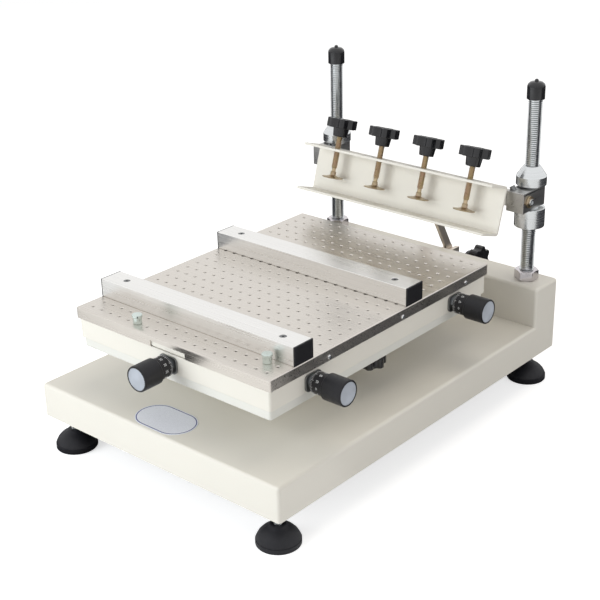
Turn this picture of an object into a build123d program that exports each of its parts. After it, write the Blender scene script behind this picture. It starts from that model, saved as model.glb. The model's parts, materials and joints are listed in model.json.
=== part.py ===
from build123d import *
import os
from math import cos, radians, sin, tan

# Hand-operated stencil printer for solder paste, in millimetres.
# X runs to the operator's right, Y to the back and Z up from the floor. The origin lies on the
# floor under the middle of the overall box. Pieces are placed from the middle of the base.

os.makedirs("parts", exist_ok=True)

# Fits shared by all pieces
running_gap = 0.05      # shaft in bore, on each side
sliding_gap = 0.3       # flat face over flat face
assembly_gap = 0.3      # sheet part inside sheet part, on each side

# Folded steel base with a riser along its back edge
base_width = 374
base_depth = 540
base_height = 42
riser_depth = 50
riser_height = 53
base_sheet = 2
base_edge_round = 4
lip_width = 12
cover_thickness = 4

# Levelling feet
foot_height = 44
foot_spacing_x = 326
foot_front_inset = 24
foot_rear_inset = 25
foot_diameter = 50
foot_cone_height = 24
foot_cone_top = 18
foot_stem_diameter = 10
foot_stem_length = 52

# Stage: pedestal, tray and box, stacked on the base and set forward of its middle
stage_forward = 38
pedestal_width = 140
pedestal_depth = 230
pedestal_height = 48
pedestal_rearward = 15
pedestal_wall = 3
pedestal_flange = 10
pedestal_round = 6
tray_height = 11.5
tray_inset = 2.4
box_height = 23.7
box_inset = 2
stage_sheet = 2
stage_round = 3

# Perforated platform plate and the pan under it
platform_width = 300
platform_depth = 400
platform_sheet = 1.5
apron_height = 13.8
apron_gap = 1
hole_columns = 19
hole_rows = 23
hole_pitch_x = 15
hole_pitch_y = 17
hole_side = 2.8
notch_width = 54
notch_height = 7
pan_floor = 2.5
pan_wall = 2
pan_inset = 0.8

# Cross slides that carry the platform inside the box
y_rail_spread = 60
y_rail_width = 10
y_rail_height = 8
y_rail_length = 200
guide_width = 5
guide_depth = 4.5
y_plate_width = 180
y_plate_depth = 200
plate_thickness = 3
x_rail_spread = 80
x_rail_width = 10
x_rail_height = 6
x_rail_length = 170
x_plate_width = 150
x_plate_depth = 190
pivot_pin_diameter = 16
pivot_pin_height = 12
pan_hub_diameter = 30
pan_hub_height = 8
glide_pad_size = 20
glide_pad_spread_x = 60
glide_pad_spread_y = 75
stage_travel = 5        # each way, in X and in Y

# Dial adjusters: one in front, two on the right
adjuster_rise = 11      # axis above the underside of the box
adjuster_spread = 131   # side adjusters before and behind the middle of the stage
flange_width = 28
flange_height = 22
flange_thickness = 2.5
spigot_side = 14
sleeve_diameter = 16
sleeve_length = 3.5
dial_diameter = 25
dial_length = 16
thimble_diameter = 30
thimble_length = 27
spindle_diameter = 8
spindle_end = 20        # outer end of a spindle, out from the box wall
spindle_bore_depth = 26
head_side = 10
head_thickness = 3
head_play = 0.3
lug_thickness = 12
lug_width = 24
lug_drop = 7.5          # lug below the spindle axis
lug_overlap = 1.5       # lug let into the edge of its plate
x_head_reach = 48       # inner face of a spindle head, in from the box wall
theta_tip_reach = 43
theta_lug_gap = 7

# Loose rails and locating pins on the platform
rail_depth = 30
rail_height = 22
rail_wall = 2
plug_face = 2
plug_insert = 8
front_rail_y = -145.5   # middle of each rail from the middle of the stage
rear_rail_y = 49
pin_barrel_diameter = 9.5
pin_barrel_height = 8
pin_head_diameter = 12
pin_head_height = 3
pin_shank_diameter = 2.6
pin_shank_length = 5
right_pin_column = 8    # hole counted from the middle of the grid
right_pin_row = -10
left_pin_column = -4
left_pin_row = -11

# Threaded posts and the carriage on them
post_span = 311
post_diameter = 18
post_height = 253       # above the riser
post_tail = 22          # below the top of the riser
nut_across_flats = 27
nut_height = 10
cap_diameter = 22
cap_skirt = 24
cap_top_wall = 3
nipple_diameter = 8
nipple_height = 3
block_width = 25
block_depth = 50
block_height = 26
block_rise = 99         # above the riser
block_edge_chamfer = 1
post_setback = 11.5     # post behind the middle of its block
pivot_inset = 12.5      # pivot behind the front face of the block
collar_diameter = 38
upper_collar_straight = 13
upper_collar_cone = 13
collar_top_diameter = 20
lower_collar_height = 26.5

# Stencil holder, leaning back on its hinge
holder_tilt = 17.3
channel_length = 296
channel_depth = 36.6
channel_height = 62.4
channel_sheet = 3
channel_bend = 4
channel_ahead = 23      # back of the channel in front of the pivot
channel_over = 14.4     # top of the channel above the pivot
shaft_diameter = 12
bracket_thickness = 5
bracket_gap = 0.5
bracket_radius = 10
washer_diameter = 20
washer_thickness = 2
pivot_screw_diameter = 10
pivot_screw_head = 4

# Support arm behind the riser, and the fork that locks it
arm_x = 4
arm_lean = 29.7
arm_width = 11.5
arm_thickness = 5
arm_length = 163.5
arm_side_gap = 0.4
fork_cheek = 6
fork_plate = 3
fork_height = 24
fork_below_riser = 9
fork_reach = 34
arm_lock_drop = 129     # lock screw below the pivot
arm_knob_x = 44         # inner face of the knob's lobes

# Stencil clamps
clamp_count = 4
clamp_pitch = 70
clamp_inset = 17        # behind the front edge of the channel
clamp_screw_diameter = 8
clamp_opening = 20      # pad above the lower flange
pad_diameter = 28
pad_thickness = 3
pad_hub_diameter = 12
pad_hub_height = 6
clamp_knob_gap = 13.5   # knob hub above the upper flange

# Seven-lobed star knobs
star_diameter = 40
star_lobes = 7
star_thickness = 12
scallop_radius = 5.5
scallop_centre = 20.5
hub_length = 14
hub_top_diameter = 22
hub_end_diameter = 17
screw_in_knob = 12

# Table lock under the stage
table_lock_x = 118
table_lock_y = 5
table_hub_length = 7.5
table_knob_gap = 0.5
table_screw_gap = 0.3

# Heights
base_bottom = foot_height
base_top = base_bottom + base_height
riser_top = base_top + riser_height
tray_bottom = base_top + pedestal_height
box_bottom = tray_bottom + tray_height
box_top = box_bottom + box_height
box_floor = box_bottom + stage_sheet
apron_bottom = box_top + apron_gap
platform_top = apron_bottom + apron_height
platform_underside = platform_top - platform_sheet
pan_bottom = apron_bottom + pan_inset
y_plate_bottom = box_floor + y_rail_height + sliding_gap
y_plate_top = y_plate_bottom + plate_thickness
x_rail_top = y_plate_top + x_rail_height
x_plate_bottom = x_rail_top + sliding_gap
x_plate_top = x_plate_bottom + plate_thickness
adjuster_z = box_bottom + adjuster_rise
post_top = riser_top + post_height
block_bottom = riser_top + block_rise
block_top = block_bottom + block_height
pivot_z = block_bottom + block_height / 2
arm_lock_z = pivot_z - arm_lock_drop

# Places across the floor, from the middle of the base
base_front = -base_depth / 2
base_back = base_depth / 2
riser_front = base_back - riser_depth
stage_y = -stage_forward
box_half_x = platform_width / 2 - box_inset
box_half_y = platform_depth / 2 - box_inset
post_x = post_span / 2
post_y = base_back - riser_depth / 2
block_y = post_y - post_setback
pivot_y = block_y - block_depth / 2 + pivot_inset
arm_lock_y = pivot_y + arm_lock_drop * tan(radians(arm_lean))
adjuster_reach = flange_thickness + sleeve_length + dial_length + thimble_length
y_lug_middle = y_plate_depth / 2 - lug_overlap + lug_thickness / 2
y_head_reach = box_half_y - y_lug_middle + head_thickness / 2

# The overall box runs from the left feet to the side knobs, and from the front knob to the knob
# that locks the arm. Its middle is the origin.
left_reach = foot_spacing_x / 2 + foot_diameter / 2
right_reach = box_half_x + adjuster_reach
front_reach = -stage_y + box_half_y + adjuster_reach
rear_reach = arm_lock_y + star_diameter / 2
mid_x = (left_reach - right_reach) / 2
mid_y = (front_reach - rear_reach) / 2

# Directions of the leaning holder: along its flanges to the front, and square to them
holder_forward = Vector(0, -cos(radians(holder_tilt)), sin(radians(holder_tilt)))
holder_up = Vector(0, sin(radians(holder_tilt)), cos(radians(holder_tilt)))
arm_down = Vector(0, sin(radians(arm_lean)), -cos(radians(arm_lean)))


def level(z):
    """Horizontal plane: sketch X and Y are the object's."""
    return Plane((mid_x, mid_y, z))


def across(x):
    """Upright plane square to X: sketch X is the object's Y, sketch Y its height."""
    return Plane(origin=(mid_x + x, mid_y, 0), x_dir=(0, 1, 0), z_dir=(1, 0, 0))


def pivot_point(x, forward=0, up=0):
    """Point of the leaning holder, by its distances from the pivot axis."""
    return Vector(mid_x + x, mid_y + pivot_y, pivot_z) + holder_forward * forward + holder_up * up


def holder_section(x):
    """Plane across the leaning holder: sketch X runs forward and sketch Y up."""
    return Plane(origin=pivot_point(x), x_dir=holder_forward, z_dir=(-1, 0, 0))


def clamp_plane(x, up):
    """Plane parallel to the holder's flanges, at a clamp's axis."""
    forward = channel_ahead + channel_depth - clamp_inset
    return Plane(origin=pivot_point(x, forward, up), x_dir=(1, 0, 0), z_dir=holder_up)


def wall_plane(name):
    """Plane on the outside of the box wall at an adjuster, facing outwards."""
    if name == "y":
        origin = (mid_x, mid_y + stage_y - box_half_y, adjuster_z)
        return Plane(origin=origin, x_dir=(1, 0, 0), z_dir=(0, -1, 0))
    side = -adjuster_spread if name == "x" else adjuster_spread
    origin = (mid_x + box_half_x, mid_y + stage_y + side, adjuster_z)
    return Plane(origin=origin, x_dir=(0, 1, 0), z_dir=(1, 0, 0))


def keep(builder, name):
    """Label a finished piece and write its file."""
    builder.part.label = name
    export_step(builder.part, f"parts/{name}.step")


def star_knob(plane, length=hub_length):
    """Lobed head over a tapered hub: the hub starts on the plane and the head sits on its end."""
    with BuildPart() as knob:
        with BuildSketch(plane):
            Circle(hub_end_diameter / 2)
        with BuildSketch(plane.offset(length)):
            Circle(hub_top_diameter / 2)
        loft()
        with BuildSketch(plane.offset(length)):
            Circle(star_diameter / 2)
            with PolarLocations(scallop_centre, star_lobes):
                Circle(scallop_radius, mode=Mode.SUBTRACT)
        extrude(amount=star_thickness)
        with BuildSketch(plane):
            Circle(clamp_screw_diameter / 2)
        extrude(amount=screw_in_knob, mode=Mode.SUBTRACT)
    return knob


# Base shell: an upside-down pan with a raised back, open below behind a turned-in lip
with BuildPart() as base_shell:
    with BuildSketch(across(0)):
        with BuildLine():
            Polyline(
                (base_front, base_bottom),
                (base_back, base_bottom),
                (base_back, riser_top),
                (riser_front, riser_top),
                (riser_front, base_top),
                (base_front, base_top),
                close=True,
            )
        make_face()
    extrude(amount=base_width / 2, both=True)
    step_y = mid_y + riser_front
    outer_edges = base_shell.edges().filter_by(lambda edge: edge.center().Z > base_bottom + 1)
    inner_corner = outer_edges.filter_by(Axis.X).sort_by(
        lambda edge: abs(edge.center().Y - step_y) + abs(edge.center().Z - base_top)
    )[0]
    fillet([edge for edge in outer_edges if edge != inner_corner], base_edge_round)
    with BuildSketch(across(0)):
        with BuildLine():
            Polyline(
                (base_front + base_sheet, base_bottom),
                (base_back - base_sheet, base_bottom),
                (base_back - base_sheet, riser_top - base_sheet),
                (riser_front + base_sheet, riser_top - base_sheet),
                (riser_front + base_sheet, base_top - base_sheet),
                (base_front + base_sheet, base_top - base_sheet),
                close=True,
            )
        make_face()
    extrude(amount=base_width / 2 - base_sheet, both=True, mode=Mode.SUBTRACT)
    with BuildSketch(level(base_bottom + cover_thickness)):
        Rectangle(base_width - 2 * base_sheet, base_depth - 2 * base_sheet)
        lip_sides = 2 * (base_sheet + lip_width)
        Rectangle(base_width - lip_sides, base_depth - lip_sides, mode=Mode.SUBTRACT)
    extrude(amount=base_sheet)
    with BuildSketch(level(riser_top)):
        with Locations((-post_x, post_y), (post_x, post_y)):
            Circle(post_diameter / 2 + running_gap)
    extrude(amount=-2 * base_sheet, mode=Mode.SUBTRACT)
keep(base_shell, "base_shell")

foot_y_front = base_front + foot_front_inset
foot_y_rear = base_back - foot_rear_inset
foot_places = {
    "front_left_foot": (-foot_spacing_x / 2, foot_y_front),
    "front_right_foot": (foot_spacing_x / 2, foot_y_front),
    "rear_left_foot": (-foot_spacing_x / 2, foot_y_rear),
    "rear_right_foot": (foot_spacing_x / 2, foot_y_rear),
}

# Bottom cover: a thick plate inside the shell's walls, tapped for the feet
with BuildPart() as bottom_cover:
    with BuildSketch(level(base_bottom)):
        cover_sides = 2 * (base_sheet + assembly_gap)
        Rectangle(base_width - cover_sides, base_depth - cover_sides)
        with Locations(*foot_places.values()):
            Circle(foot_stem_diameter / 2 + running_gap, mode=Mode.SUBTRACT)
    extrude(amount=cover_thickness)
keep(bottom_cover, "bottom_cover")

# Feet: a cone with a threaded stem, screwed into the cover
for foot_name, (foot_x, foot_y) in foot_places.items():
    with BuildPart() as foot:
        with BuildSketch(level(0)):
            with Locations((foot_x, foot_y)):
                Circle(foot_diameter / 2)
        with BuildSketch(level(foot_cone_height)):
            with Locations((foot_x, foot_y)):
                Circle(foot_cone_top / 2)
        loft()
        with BuildSketch(level(foot_cone_height)):
            with Locations((foot_x, foot_y)):
                Circle(foot_stem_diameter / 2)
        extrude(amount=foot_stem_length)
    keep(foot, foot_name)

# Posts, their nuts above and below the riser's top, and their caps
for post_name, side in (("left_post", -1), ("right_post", 1)):
    with BuildPart() as post:
        with BuildSketch(level(riser_top - post_tail)):
            with Locations((side * post_x, post_y)):
                Circle(post_diameter / 2)
        extrude(amount=post_tail + post_height)
    keep(post, post_name)

with BuildPart() as post_nuts:
    for nut_bottom in (riser_top, riser_top - base_sheet - nut_height):
        with BuildSketch(level(nut_bottom)):
            with Locations((-post_x, post_y), (post_x, post_y)):
                RegularPolygon(nut_across_flats / 2, 6, major_radius=False)
                Circle(post_diameter / 2 + running_gap, mode=Mode.SUBTRACT)
        extrude(amount=nut_height)
keep(post_nuts, "post_nuts")

with BuildPart() as post_caps:
    with BuildSketch(level(post_top - cap_skirt)):
        with Locations((-post_x, post_y), (post_x, post_y)):
            Circle(cap_diameter / 2)
    extrude(amount=cap_skirt + cap_top_wall)
    with BuildSketch(level(post_top + cap_top_wall)):
        with Locations((-post_x, post_y), (post_x, post_y)):
            Circle(nipple_diameter / 2)
    extrude(amount=nipple_height)
    with BuildSketch(level(post_top)):
        with Locations((-post_x, post_y), (post_x, post_y)):
            Circle(post_diameter / 2 + running_gap)
    extrude(amount=-cap_skirt, mode=Mode.SUBTRACT)
keep(post_caps, "post_caps")

# Pedestal: a folded box, open below, with a flange all round on the base
pedestal_y = stage_y + pedestal_rearward
with BuildPart() as pedestal:
    with BuildSketch(level(base_top)):
        with Locations((0, pedestal_y)):
            Rectangle(pedestal_width, pedestal_depth)
    extrude(amount=pedestal_height)
    fillet(pedestal.edges().filter_by(Axis.Z), pedestal_round)
    with BuildSketch(level(base_top)):
        with Locations((0, pedestal_y)):
            Rectangle(pedestal_width + 2 * pedestal_flange, pedestal_depth + 2 * pedestal_flange)
    extrude(amount=pedestal_wall)
    with BuildSketch(level(base_top)):
        with Locations((0, pedestal_y)):
            Rectangle(pedestal_width - 2 * pedestal_wall, pedestal_depth - 2 * pedestal_wall)
    extrude(amount=pedestal_height - pedestal_wall, mode=Mode.SUBTRACT)
keep(pedestal, "pedestal")

# Tray and box of the stage: two shallow pans, open above
tray_half_x = box_half_x - tray_inset
tray_half_y = box_half_y - tray_inset
lock_place = (table_lock_x, stage_y + table_lock_y)
with BuildPart() as stage_tray:
    with BuildSketch(level(tray_bottom)):
        with Locations((0, stage_y)):
            RectangleRounded(2 * tray_half_x, 2 * tray_half_y, stage_round)
    extrude(amount=tray_height)
    with BuildSketch(level(tray_bottom + stage_sheet)):
        with Locations((0, stage_y)):
            Rectangle(2 * (tray_half_x - stage_sheet), 2 * (tray_half_y - stage_sheet))
    extrude(amount=tray_height, mode=Mode.SUBTRACT)
    with BuildSketch(level(tray_bottom)):
        with Locations(lock_place):
            Rectangle(spigot_side, spigot_side)
    extrude(amount=stage_sheet, mode=Mode.SUBTRACT)
keep(stage_tray, "stage_tray")

with BuildPart() as stage_box:
    with BuildSketch(level(box_bottom)):
        with Locations((0, stage_y)):
            RectangleRounded(2 * box_half_x, 2 * box_half_y, stage_round)
    extrude(amount=box_height)
    with BuildSketch(level(box_floor)):
        with Locations((0, stage_y)):
            Rectangle(2 * (box_half_x - stage_sheet), 2 * (box_half_y - stage_sheet))
    extrude(amount=box_height, mode=Mode.SUBTRACT)
    for adjuster in ("y", "x", "theta"):
        with BuildSketch(wall_plane(adjuster)):
            Rectangle(spigot_side + 2 * running_gap, spigot_side + 2 * running_gap)
        extrude(amount=-2 * stage_sheet, mode=Mode.SUBTRACT)
    with BuildSketch(level(box_bottom)):
        with Locations(lock_place):
            Circle(clamp_screw_diameter / 2 + running_gap)
    extrude(amount=stage_sheet, mode=Mode.SUBTRACT)
keep(stage_box, "stage_box")

# Flanges of the adjusters: a square plate, a spigot through the wall and a round sleeve
with BuildPart() as adjuster_flanges:
    for adjuster in ("y", "x", "theta"):
        wall = wall_plane(adjuster)
        with BuildSketch(wall):
            Rectangle(flange_width, flange_height)
        extrude(amount=flange_thickness)
        with BuildSketch(wall):
            Rectangle(spigot_side, spigot_side)
        extrude(amount=-stage_sheet)
        with BuildSketch(wall.offset(flange_thickness)):
            Circle(sleeve_diameter / 2)
        extrude(amount=sleeve_length - sliding_gap)
        with BuildSketch(wall.offset(-stage_sheet)):
            Circle(spindle_diameter / 2 + running_gap)
        extrude(amount=stage_sheet + flange_thickness + sleeve_length, mode=Mode.SUBTRACT)
keep(adjuster_flanges, "adjuster_flanges")

# Knob of each adjuster: the dial ring and the thicker thimble turn as one
dial_start = flange_thickness + sleeve_length
for adjuster in ("y", "x", "theta"):
    wall = wall_plane(adjuster)
    with BuildPart() as adjuster_knob:
        with BuildSketch(wall.offset(dial_start)):
            Circle(dial_diameter / 2)
        extrude(amount=dial_length)
        with BuildSketch(wall.offset(dial_start + dial_length)):
            Circle(thimble_diameter / 2)
        extrude(amount=thimble_length)
        with BuildSketch(wall.offset(dial_start)):
            Circle(spindle_diameter / 2 + running_gap)
        extrude(amount=spindle_bore_depth, mode=Mode.SUBTRACT)
    keep(adjuster_knob, f"{adjuster}_knob")

# Spindles: the two that push a slide end in a square head, the third in a plain tip
for adjuster, reach in (("y", y_head_reach), ("x", x_head_reach), ("theta", theta_tip_reach)):
    wall = wall_plane(adjuster)
    with BuildPart() as spindle:
        with BuildSketch(wall.offset(-reach)):
            Circle(spindle_diameter / 2)
        extrude(amount=reach + spindle_end)
        if adjuster != "theta":
            with BuildSketch(wall.offset(-reach)):
                Rectangle(head_side, head_side)
            extrude(amount=head_thickness)
    keep(spindle, f"{adjuster}_spindle")

# Rails on the floor of the box, along Y
with BuildPart() as y_rails:
    with BuildSketch(level(box_floor)):
        with Locations((-y_rail_spread, stage_y), (y_rail_spread, stage_y)):
            Rectangle(y_rail_width, y_rail_length)
    extrude(amount=y_rail_height)
keep(y_rails, "y_rails")


def slotted_lug(wall, reach, play, top):
    """Lug that hooks over a spindle's head, cut open from below."""
    middle = wall.offset(-reach + head_thickness / 2)
    lug_height = top - adjuster_z + lug_drop
    slot_height = lug_drop + head_side / 2 + head_play
    slot_middle = head_side / 2 + head_play - slot_height / 2
    neck_height = lug_drop + spindle_diameter / 2 + head_play
    neck_middle = spindle_diameter / 2 + head_play - neck_height / 2
    with BuildPart() as lug:
        with BuildSketch(middle.offset(-lug_thickness / 2)):
            with Locations((0, top - adjuster_z - lug_height / 2)):
                Rectangle(lug_width + 2 * play, lug_height)
        extrude(amount=lug_thickness)
        with BuildSketch(middle.offset(-head_thickness / 2 - head_play)):
            with Locations((0, slot_middle)):
                Rectangle(head_side + 2 * (head_play + play), slot_height)
        extrude(amount=head_thickness + 2 * head_play, mode=Mode.SUBTRACT)
        with BuildSketch(middle):
            with Locations((0, neck_middle)):
                Rectangle(spindle_diameter + 2 * (head_play + play), neck_height)
        extrude(amount=lug_thickness, mode=Mode.SUBTRACT)
    return lug.part


y_lug = slotted_lug(wall_plane("y"), y_head_reach, 0, y_plate_top)
x_lug = slotted_lug(wall_plane("x"), x_head_reach, stage_travel + sliding_gap, x_plate_top)

# Lower slide: a plate with guides beside the rails, the rails of the upper slide and a lug
with BuildPart() as y_slide:
    with BuildSketch(level(y_plate_bottom)):
        with Locations((0, stage_y)):
            Rectangle(y_plate_width, y_plate_depth)
    extrude(amount=plate_thickness)
    guide_x = y_rail_spread + y_rail_width / 2 + sliding_gap + guide_width / 2
    with BuildSketch(level(y_plate_bottom)):
        with Locations((-guide_x, stage_y), (guide_x, stage_y)):
            Rectangle(guide_width, y_plate_depth)
    extrude(amount=-guide_depth)
    with BuildSketch(level(y_plate_top)):
        with Locations((0, stage_y - x_rail_spread), (0, stage_y + x_rail_spread)):
            Rectangle(x_rail_length, x_rail_width)
    extrude(amount=x_rail_height)
    add(y_lug)
keep(y_slide, "y_slide")

# Upper slide: a plate with guides, an arm to its lug and the pin that the platform turns on
with BuildPart() as x_slide:
    with BuildSketch(level(x_plate_bottom)):
        with Locations((0, stage_y)):
            Rectangle(x_plate_width, x_plate_depth)
    extrude(amount=plate_thickness)
    guide_y = x_rail_spread + x_rail_width / 2 + sliding_gap + guide_width / 2
    with BuildSketch(level(x_plate_bottom)):
        with Locations((0, stage_y - guide_y), (0, stage_y + guide_y)):
            Rectangle(x_plate_width, guide_width)
    extrude(amount=-guide_depth)
    lug_middle = box_half_x - x_head_reach + head_thickness / 2
    arm_inner = x_plate_width / 2 - lug_width
    arm_outer = lug_middle + lug_thickness / 2
    arm_end = adjuster_spread + lug_width / 2 + stage_travel
    with BuildSketch(level(x_plate_bottom)):
        with Locations(((arm_inner + arm_outer) / 2, stage_y - (arm_end + x_plate_depth / 2) / 2)):
            Rectangle(arm_outer - arm_inner, arm_end - x_plate_depth / 2)
        with Locations(((arm_inner + arm_outer) / 2, stage_y - x_plate_depth / 2)):
            Rectangle(arm_outer - arm_inner, 2 * lug_width)
    extrude(amount=plate_thickness)
    with BuildSketch(level(x_plate_top)):
        with Locations((0, stage_y)):
            Circle(pivot_pin_diameter / 2)
    extrude(amount=pivot_pin_height)
    add(x_lug)
keep(x_slide, "x_slide")

# Low-friction pads between the upper slide and the pan
with BuildPart() as glide_pads:
    with BuildSketch(level(x_plate_top)):
        with Locations((0, stage_y)):
            with GridLocations(2 * glide_pad_spread_x, 2 * glide_pad_spread_y, 2, 2):
                Rectangle(glide_pad_size, glide_pad_size)
    extrude(amount=pan_bottom - sliding_gap - x_plate_top)
keep(glide_pads, "glide_pads")

# Pan under the platform plate, with the pivot hub and the lug of the turning adjuster
pan_half_x = platform_width / 2 - platform_sheet - assembly_gap
pan_half_y = platform_depth / 2 - platform_sheet - assembly_gap
with BuildPart() as platform_pan:
    with BuildSketch(level(pan_bottom)):
        with Locations((0, stage_y)):
            Rectangle(2 * pan_half_x, 2 * pan_half_y)
    extrude(amount=platform_underside - pan_bottom)
    with BuildSketch(level(pan_bottom + pan_floor)):
        with Locations((0, stage_y)):
            Rectangle(2 * (pan_half_x - pan_wall), 2 * (pan_half_y - pan_wall))
    extrude(amount=platform_underside - pan_bottom, mode=Mode.SUBTRACT)
    with BuildSketch(level(pan_bottom)):
        with Locations((0, stage_y)):
            Circle(pan_hub_diameter / 2)
    extrude(amount=pan_hub_height)
    with BuildSketch(level(pan_bottom)):
        with Locations((0, stage_y)):
            Circle(pivot_pin_diameter / 2 + running_gap)
    extrude(amount=pan_hub_height, mode=Mode.SUBTRACT)
    lug_face = box_half_x - theta_tip_reach - theta_lug_gap
    with BuildSketch(level(pan_bottom)):
        with Locations((lug_face - lug_thickness / 2, stage_y + adjuster_spread)):
            Rectangle(lug_thickness, lug_width)
    extrude(amount=-(pan_bottom - adjuster_z + lug_drop))
keep(platform_pan, "platform_pan")

# Platform plate: a lid with a turned-down apron, a grid of holes and a finger notch in front
with BuildPart() as platform_plate:
    with BuildSketch(level(apron_bottom)):
        with Locations((0, stage_y)):
            Rectangle(platform_width, platform_depth)
    extrude(amount=apron_height)
    with BuildSketch(level(apron_bottom)):
        with Locations((0, stage_y)):
            Rectangle(platform_width - 2 * platform_sheet, platform_depth - 2 * platform_sheet)
    extrude(amount=apron_height - platform_sheet, mode=Mode.SUBTRACT)
    with BuildSketch(level(platform_top)):
        with Locations((0, stage_y)):
            with GridLocations(hole_pitch_x, hole_pitch_y, hole_columns, hole_rows):
                Rectangle(hole_side, hole_side)
    extrude(amount=-platform_sheet, mode=Mode.SUBTRACT)
    with BuildSketch(level(apron_bottom)):
        with Locations((0, stage_y - platform_depth / 2 + platform_sheet / 2)):
            Rectangle(notch_width, platform_sheet)
    extrude(amount=notch_height, mode=Mode.SUBTRACT)
keep(platform_plate, "platform_plate")

# Loose rails: rectangular tube, with a plug in each end
tube_length = platform_width - 2 * plug_face
for rail_name, rail_y in (("front_rail", front_rail_y), ("rear_rail", rear_rail_y)):
    with BuildPart() as rail:
        with BuildSketch(across(-tube_length / 2)):
            with Locations((stage_y + rail_y, platform_top + rail_height / 2)):
                Rectangle(rail_depth, rail_height)
                Rectangle(rail_depth - 2 * rail_wall, rail_height - 2 * rail_wall, mode=Mode.SUBTRACT)
        extrude(amount=tube_length)
    keep(rail, rail_name)
    with BuildPart() as rail_plugs:
        for side in (-1, 1):
            with BuildSketch(across(side * tube_length / 2)):
                with Locations((stage_y + rail_y, platform_top + rail_height / 2)):
                    Rectangle(rail_depth, rail_height)
            extrude(amount=side * plug_face)
            with BuildSketch(across(side * tube_length / 2)):
                with Locations((stage_y + rail_y, platform_top + rail_height / 2)):
                    plug_sides = 2 * (rail_wall + running_gap)
                    Rectangle(rail_depth - plug_sides, rail_height - plug_sides)
            extrude(amount=-side * plug_insert)
    keep(rail_plugs, f"{rail_name}_plugs")

# Locating pins, each standing in one hole of the grid
pin_places = {
    "left_pin": (left_pin_column * hole_pitch_x, stage_y + left_pin_row * hole_pitch_y),
    "right_pin": (right_pin_column * hole_pitch_x, stage_y + right_pin_row * hole_pitch_y),
}
for pin_name, pin_place in pin_places.items():
    with BuildPart() as pin:
        with BuildSketch(level(platform_top)):
            with Locations(pin_place):
                Circle(pin_barrel_diameter / 2)
        extrude(amount=pin_barrel_height)
        with BuildSketch(level(platform_top + pin_barrel_height)):
            with Locations(pin_place):
                Circle(pin_head_diameter / 2)
        extrude(amount=pin_head_height)
        with BuildSketch(level(platform_top)):
            with Locations(pin_place):
                Circle(pin_shank_diameter / 2)
        extrude(amount=-pin_shank_length)
    keep(pin, pin_name)

# Carriage blocks: the post runs through behind the hinge shaft
for block_name, side in (("left_block", -1), ("right_block", 1)):
    with BuildPart() as block:
        with BuildSketch(level(block_bottom)):
            with Locations((side * post_x, block_y)):
                Rectangle(block_width, block_depth)
        extrude(amount=block_height)
        chamfer(block.edges(), block_edge_chamfer)
        with BuildSketch(level(block_bottom)):
            with Locations((side * post_x, post_y)):
                Circle(post_diameter / 2 + running_gap)
        extrude(amount=block_height, mode=Mode.SUBTRACT)
        with BuildSketch(across(side * post_x - block_width / 2)):
            with Locations((pivot_y, pivot_z)):
                Circle(shaft_diameter / 2 + running_gap)
        extrude(amount=block_width, mode=Mode.SUBTRACT)
    keep(block, block_name)

# Round nuts above and below each block
for side_name, side in (("left", -1), ("right", 1)):
    with BuildPart() as upper_collar:
        with BuildSketch(level(block_top)):
            with Locations((side * post_x, post_y)):
                Circle(collar_diameter / 2)
        extrude(amount=upper_collar_straight)
        with BuildSketch(level(block_top + upper_collar_straight)):
            with Locations((side * post_x, post_y)):
                Circle(collar_diameter / 2)
        with BuildSketch(level(block_top + upper_collar_straight + upper_collar_cone)):
            with Locations((side * post_x, post_y)):
                Circle(collar_top_diameter / 2)
        loft()
        with BuildSketch(level(block_top)):
            with Locations((side * post_x, post_y)):
                Circle(post_diameter / 2 + running_gap)
        extrude(amount=upper_collar_straight + upper_collar_cone, mode=Mode.SUBTRACT)
    keep(upper_collar, f"{side_name}_upper_collar")
    with BuildPart() as lower_collar:
        with BuildSketch(level(block_bottom)):
            with Locations((side * post_x, post_y)):
                Circle(collar_diameter / 2)
                Circle(post_diameter / 2 + running_gap, mode=Mode.SUBTRACT)
        extrude(amount=-lower_collar_height)
    keep(lower_collar, f"{side_name}_lower_collar")

# Clamp channel: a folded C that opens to the front, with four tapped holes above
channel_front = channel_ahead + channel_depth
channel_low = channel_over - channel_height
with BuildPart() as clamp_channel:
    with BuildSketch(holder_section(0)):
        with BuildLine():
            Polyline(
                (channel_front, channel_over),
                (channel_ahead, channel_over),
                (channel_ahead, channel_low),
                (channel_front, channel_low),
                (channel_front, channel_low + channel_sheet),
                (channel_ahead + channel_sheet, channel_low + channel_sheet),
                (channel_ahead + channel_sheet, channel_over - channel_sheet),
                (channel_front, channel_over - channel_sheet),
                close=True,
            )
        make_face()
    extrude(amount=channel_length / 2, both=True)
    back_middle = pivot_point(0, channel_ahead, (channel_over + channel_low) / 2)
    bends = clamp_channel.edges().filter_by(Axis.X).sort_by(
        lambda edge: (edge.center() - back_middle).length
    )[2:4]
    fillet(bends, channel_bend)
    for number in range(clamp_count):
        clamp_x = (number - (clamp_count - 1) / 2) * clamp_pitch
        with BuildSketch(clamp_plane(clamp_x, channel_over)):
            Circle(clamp_screw_diameter / 2 + running_gap)
        extrude(amount=-2 * channel_sheet, mode=Mode.SUBTRACT)
keep(clamp_channel, "clamp_channel")

# Hinge brackets behind the channel, just inside the blocks
bracket_outer = post_x - block_width / 2 - bracket_gap
with BuildPart() as hinge_brackets:
    for side in (-1, 1):
        with BuildSketch(holder_section(side * (bracket_outer - bracket_thickness / 2))):
            Circle(bracket_radius)
            with Locations((channel_ahead / 2, 0)):
                Rectangle(channel_ahead, 2 * bracket_radius)
            Circle(shaft_diameter / 2 + running_gap, mode=Mode.SUBTRACT)
        extrude(amount=bracket_thickness / 2, both=True)
keep(hinge_brackets, "hinge_brackets")

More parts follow.
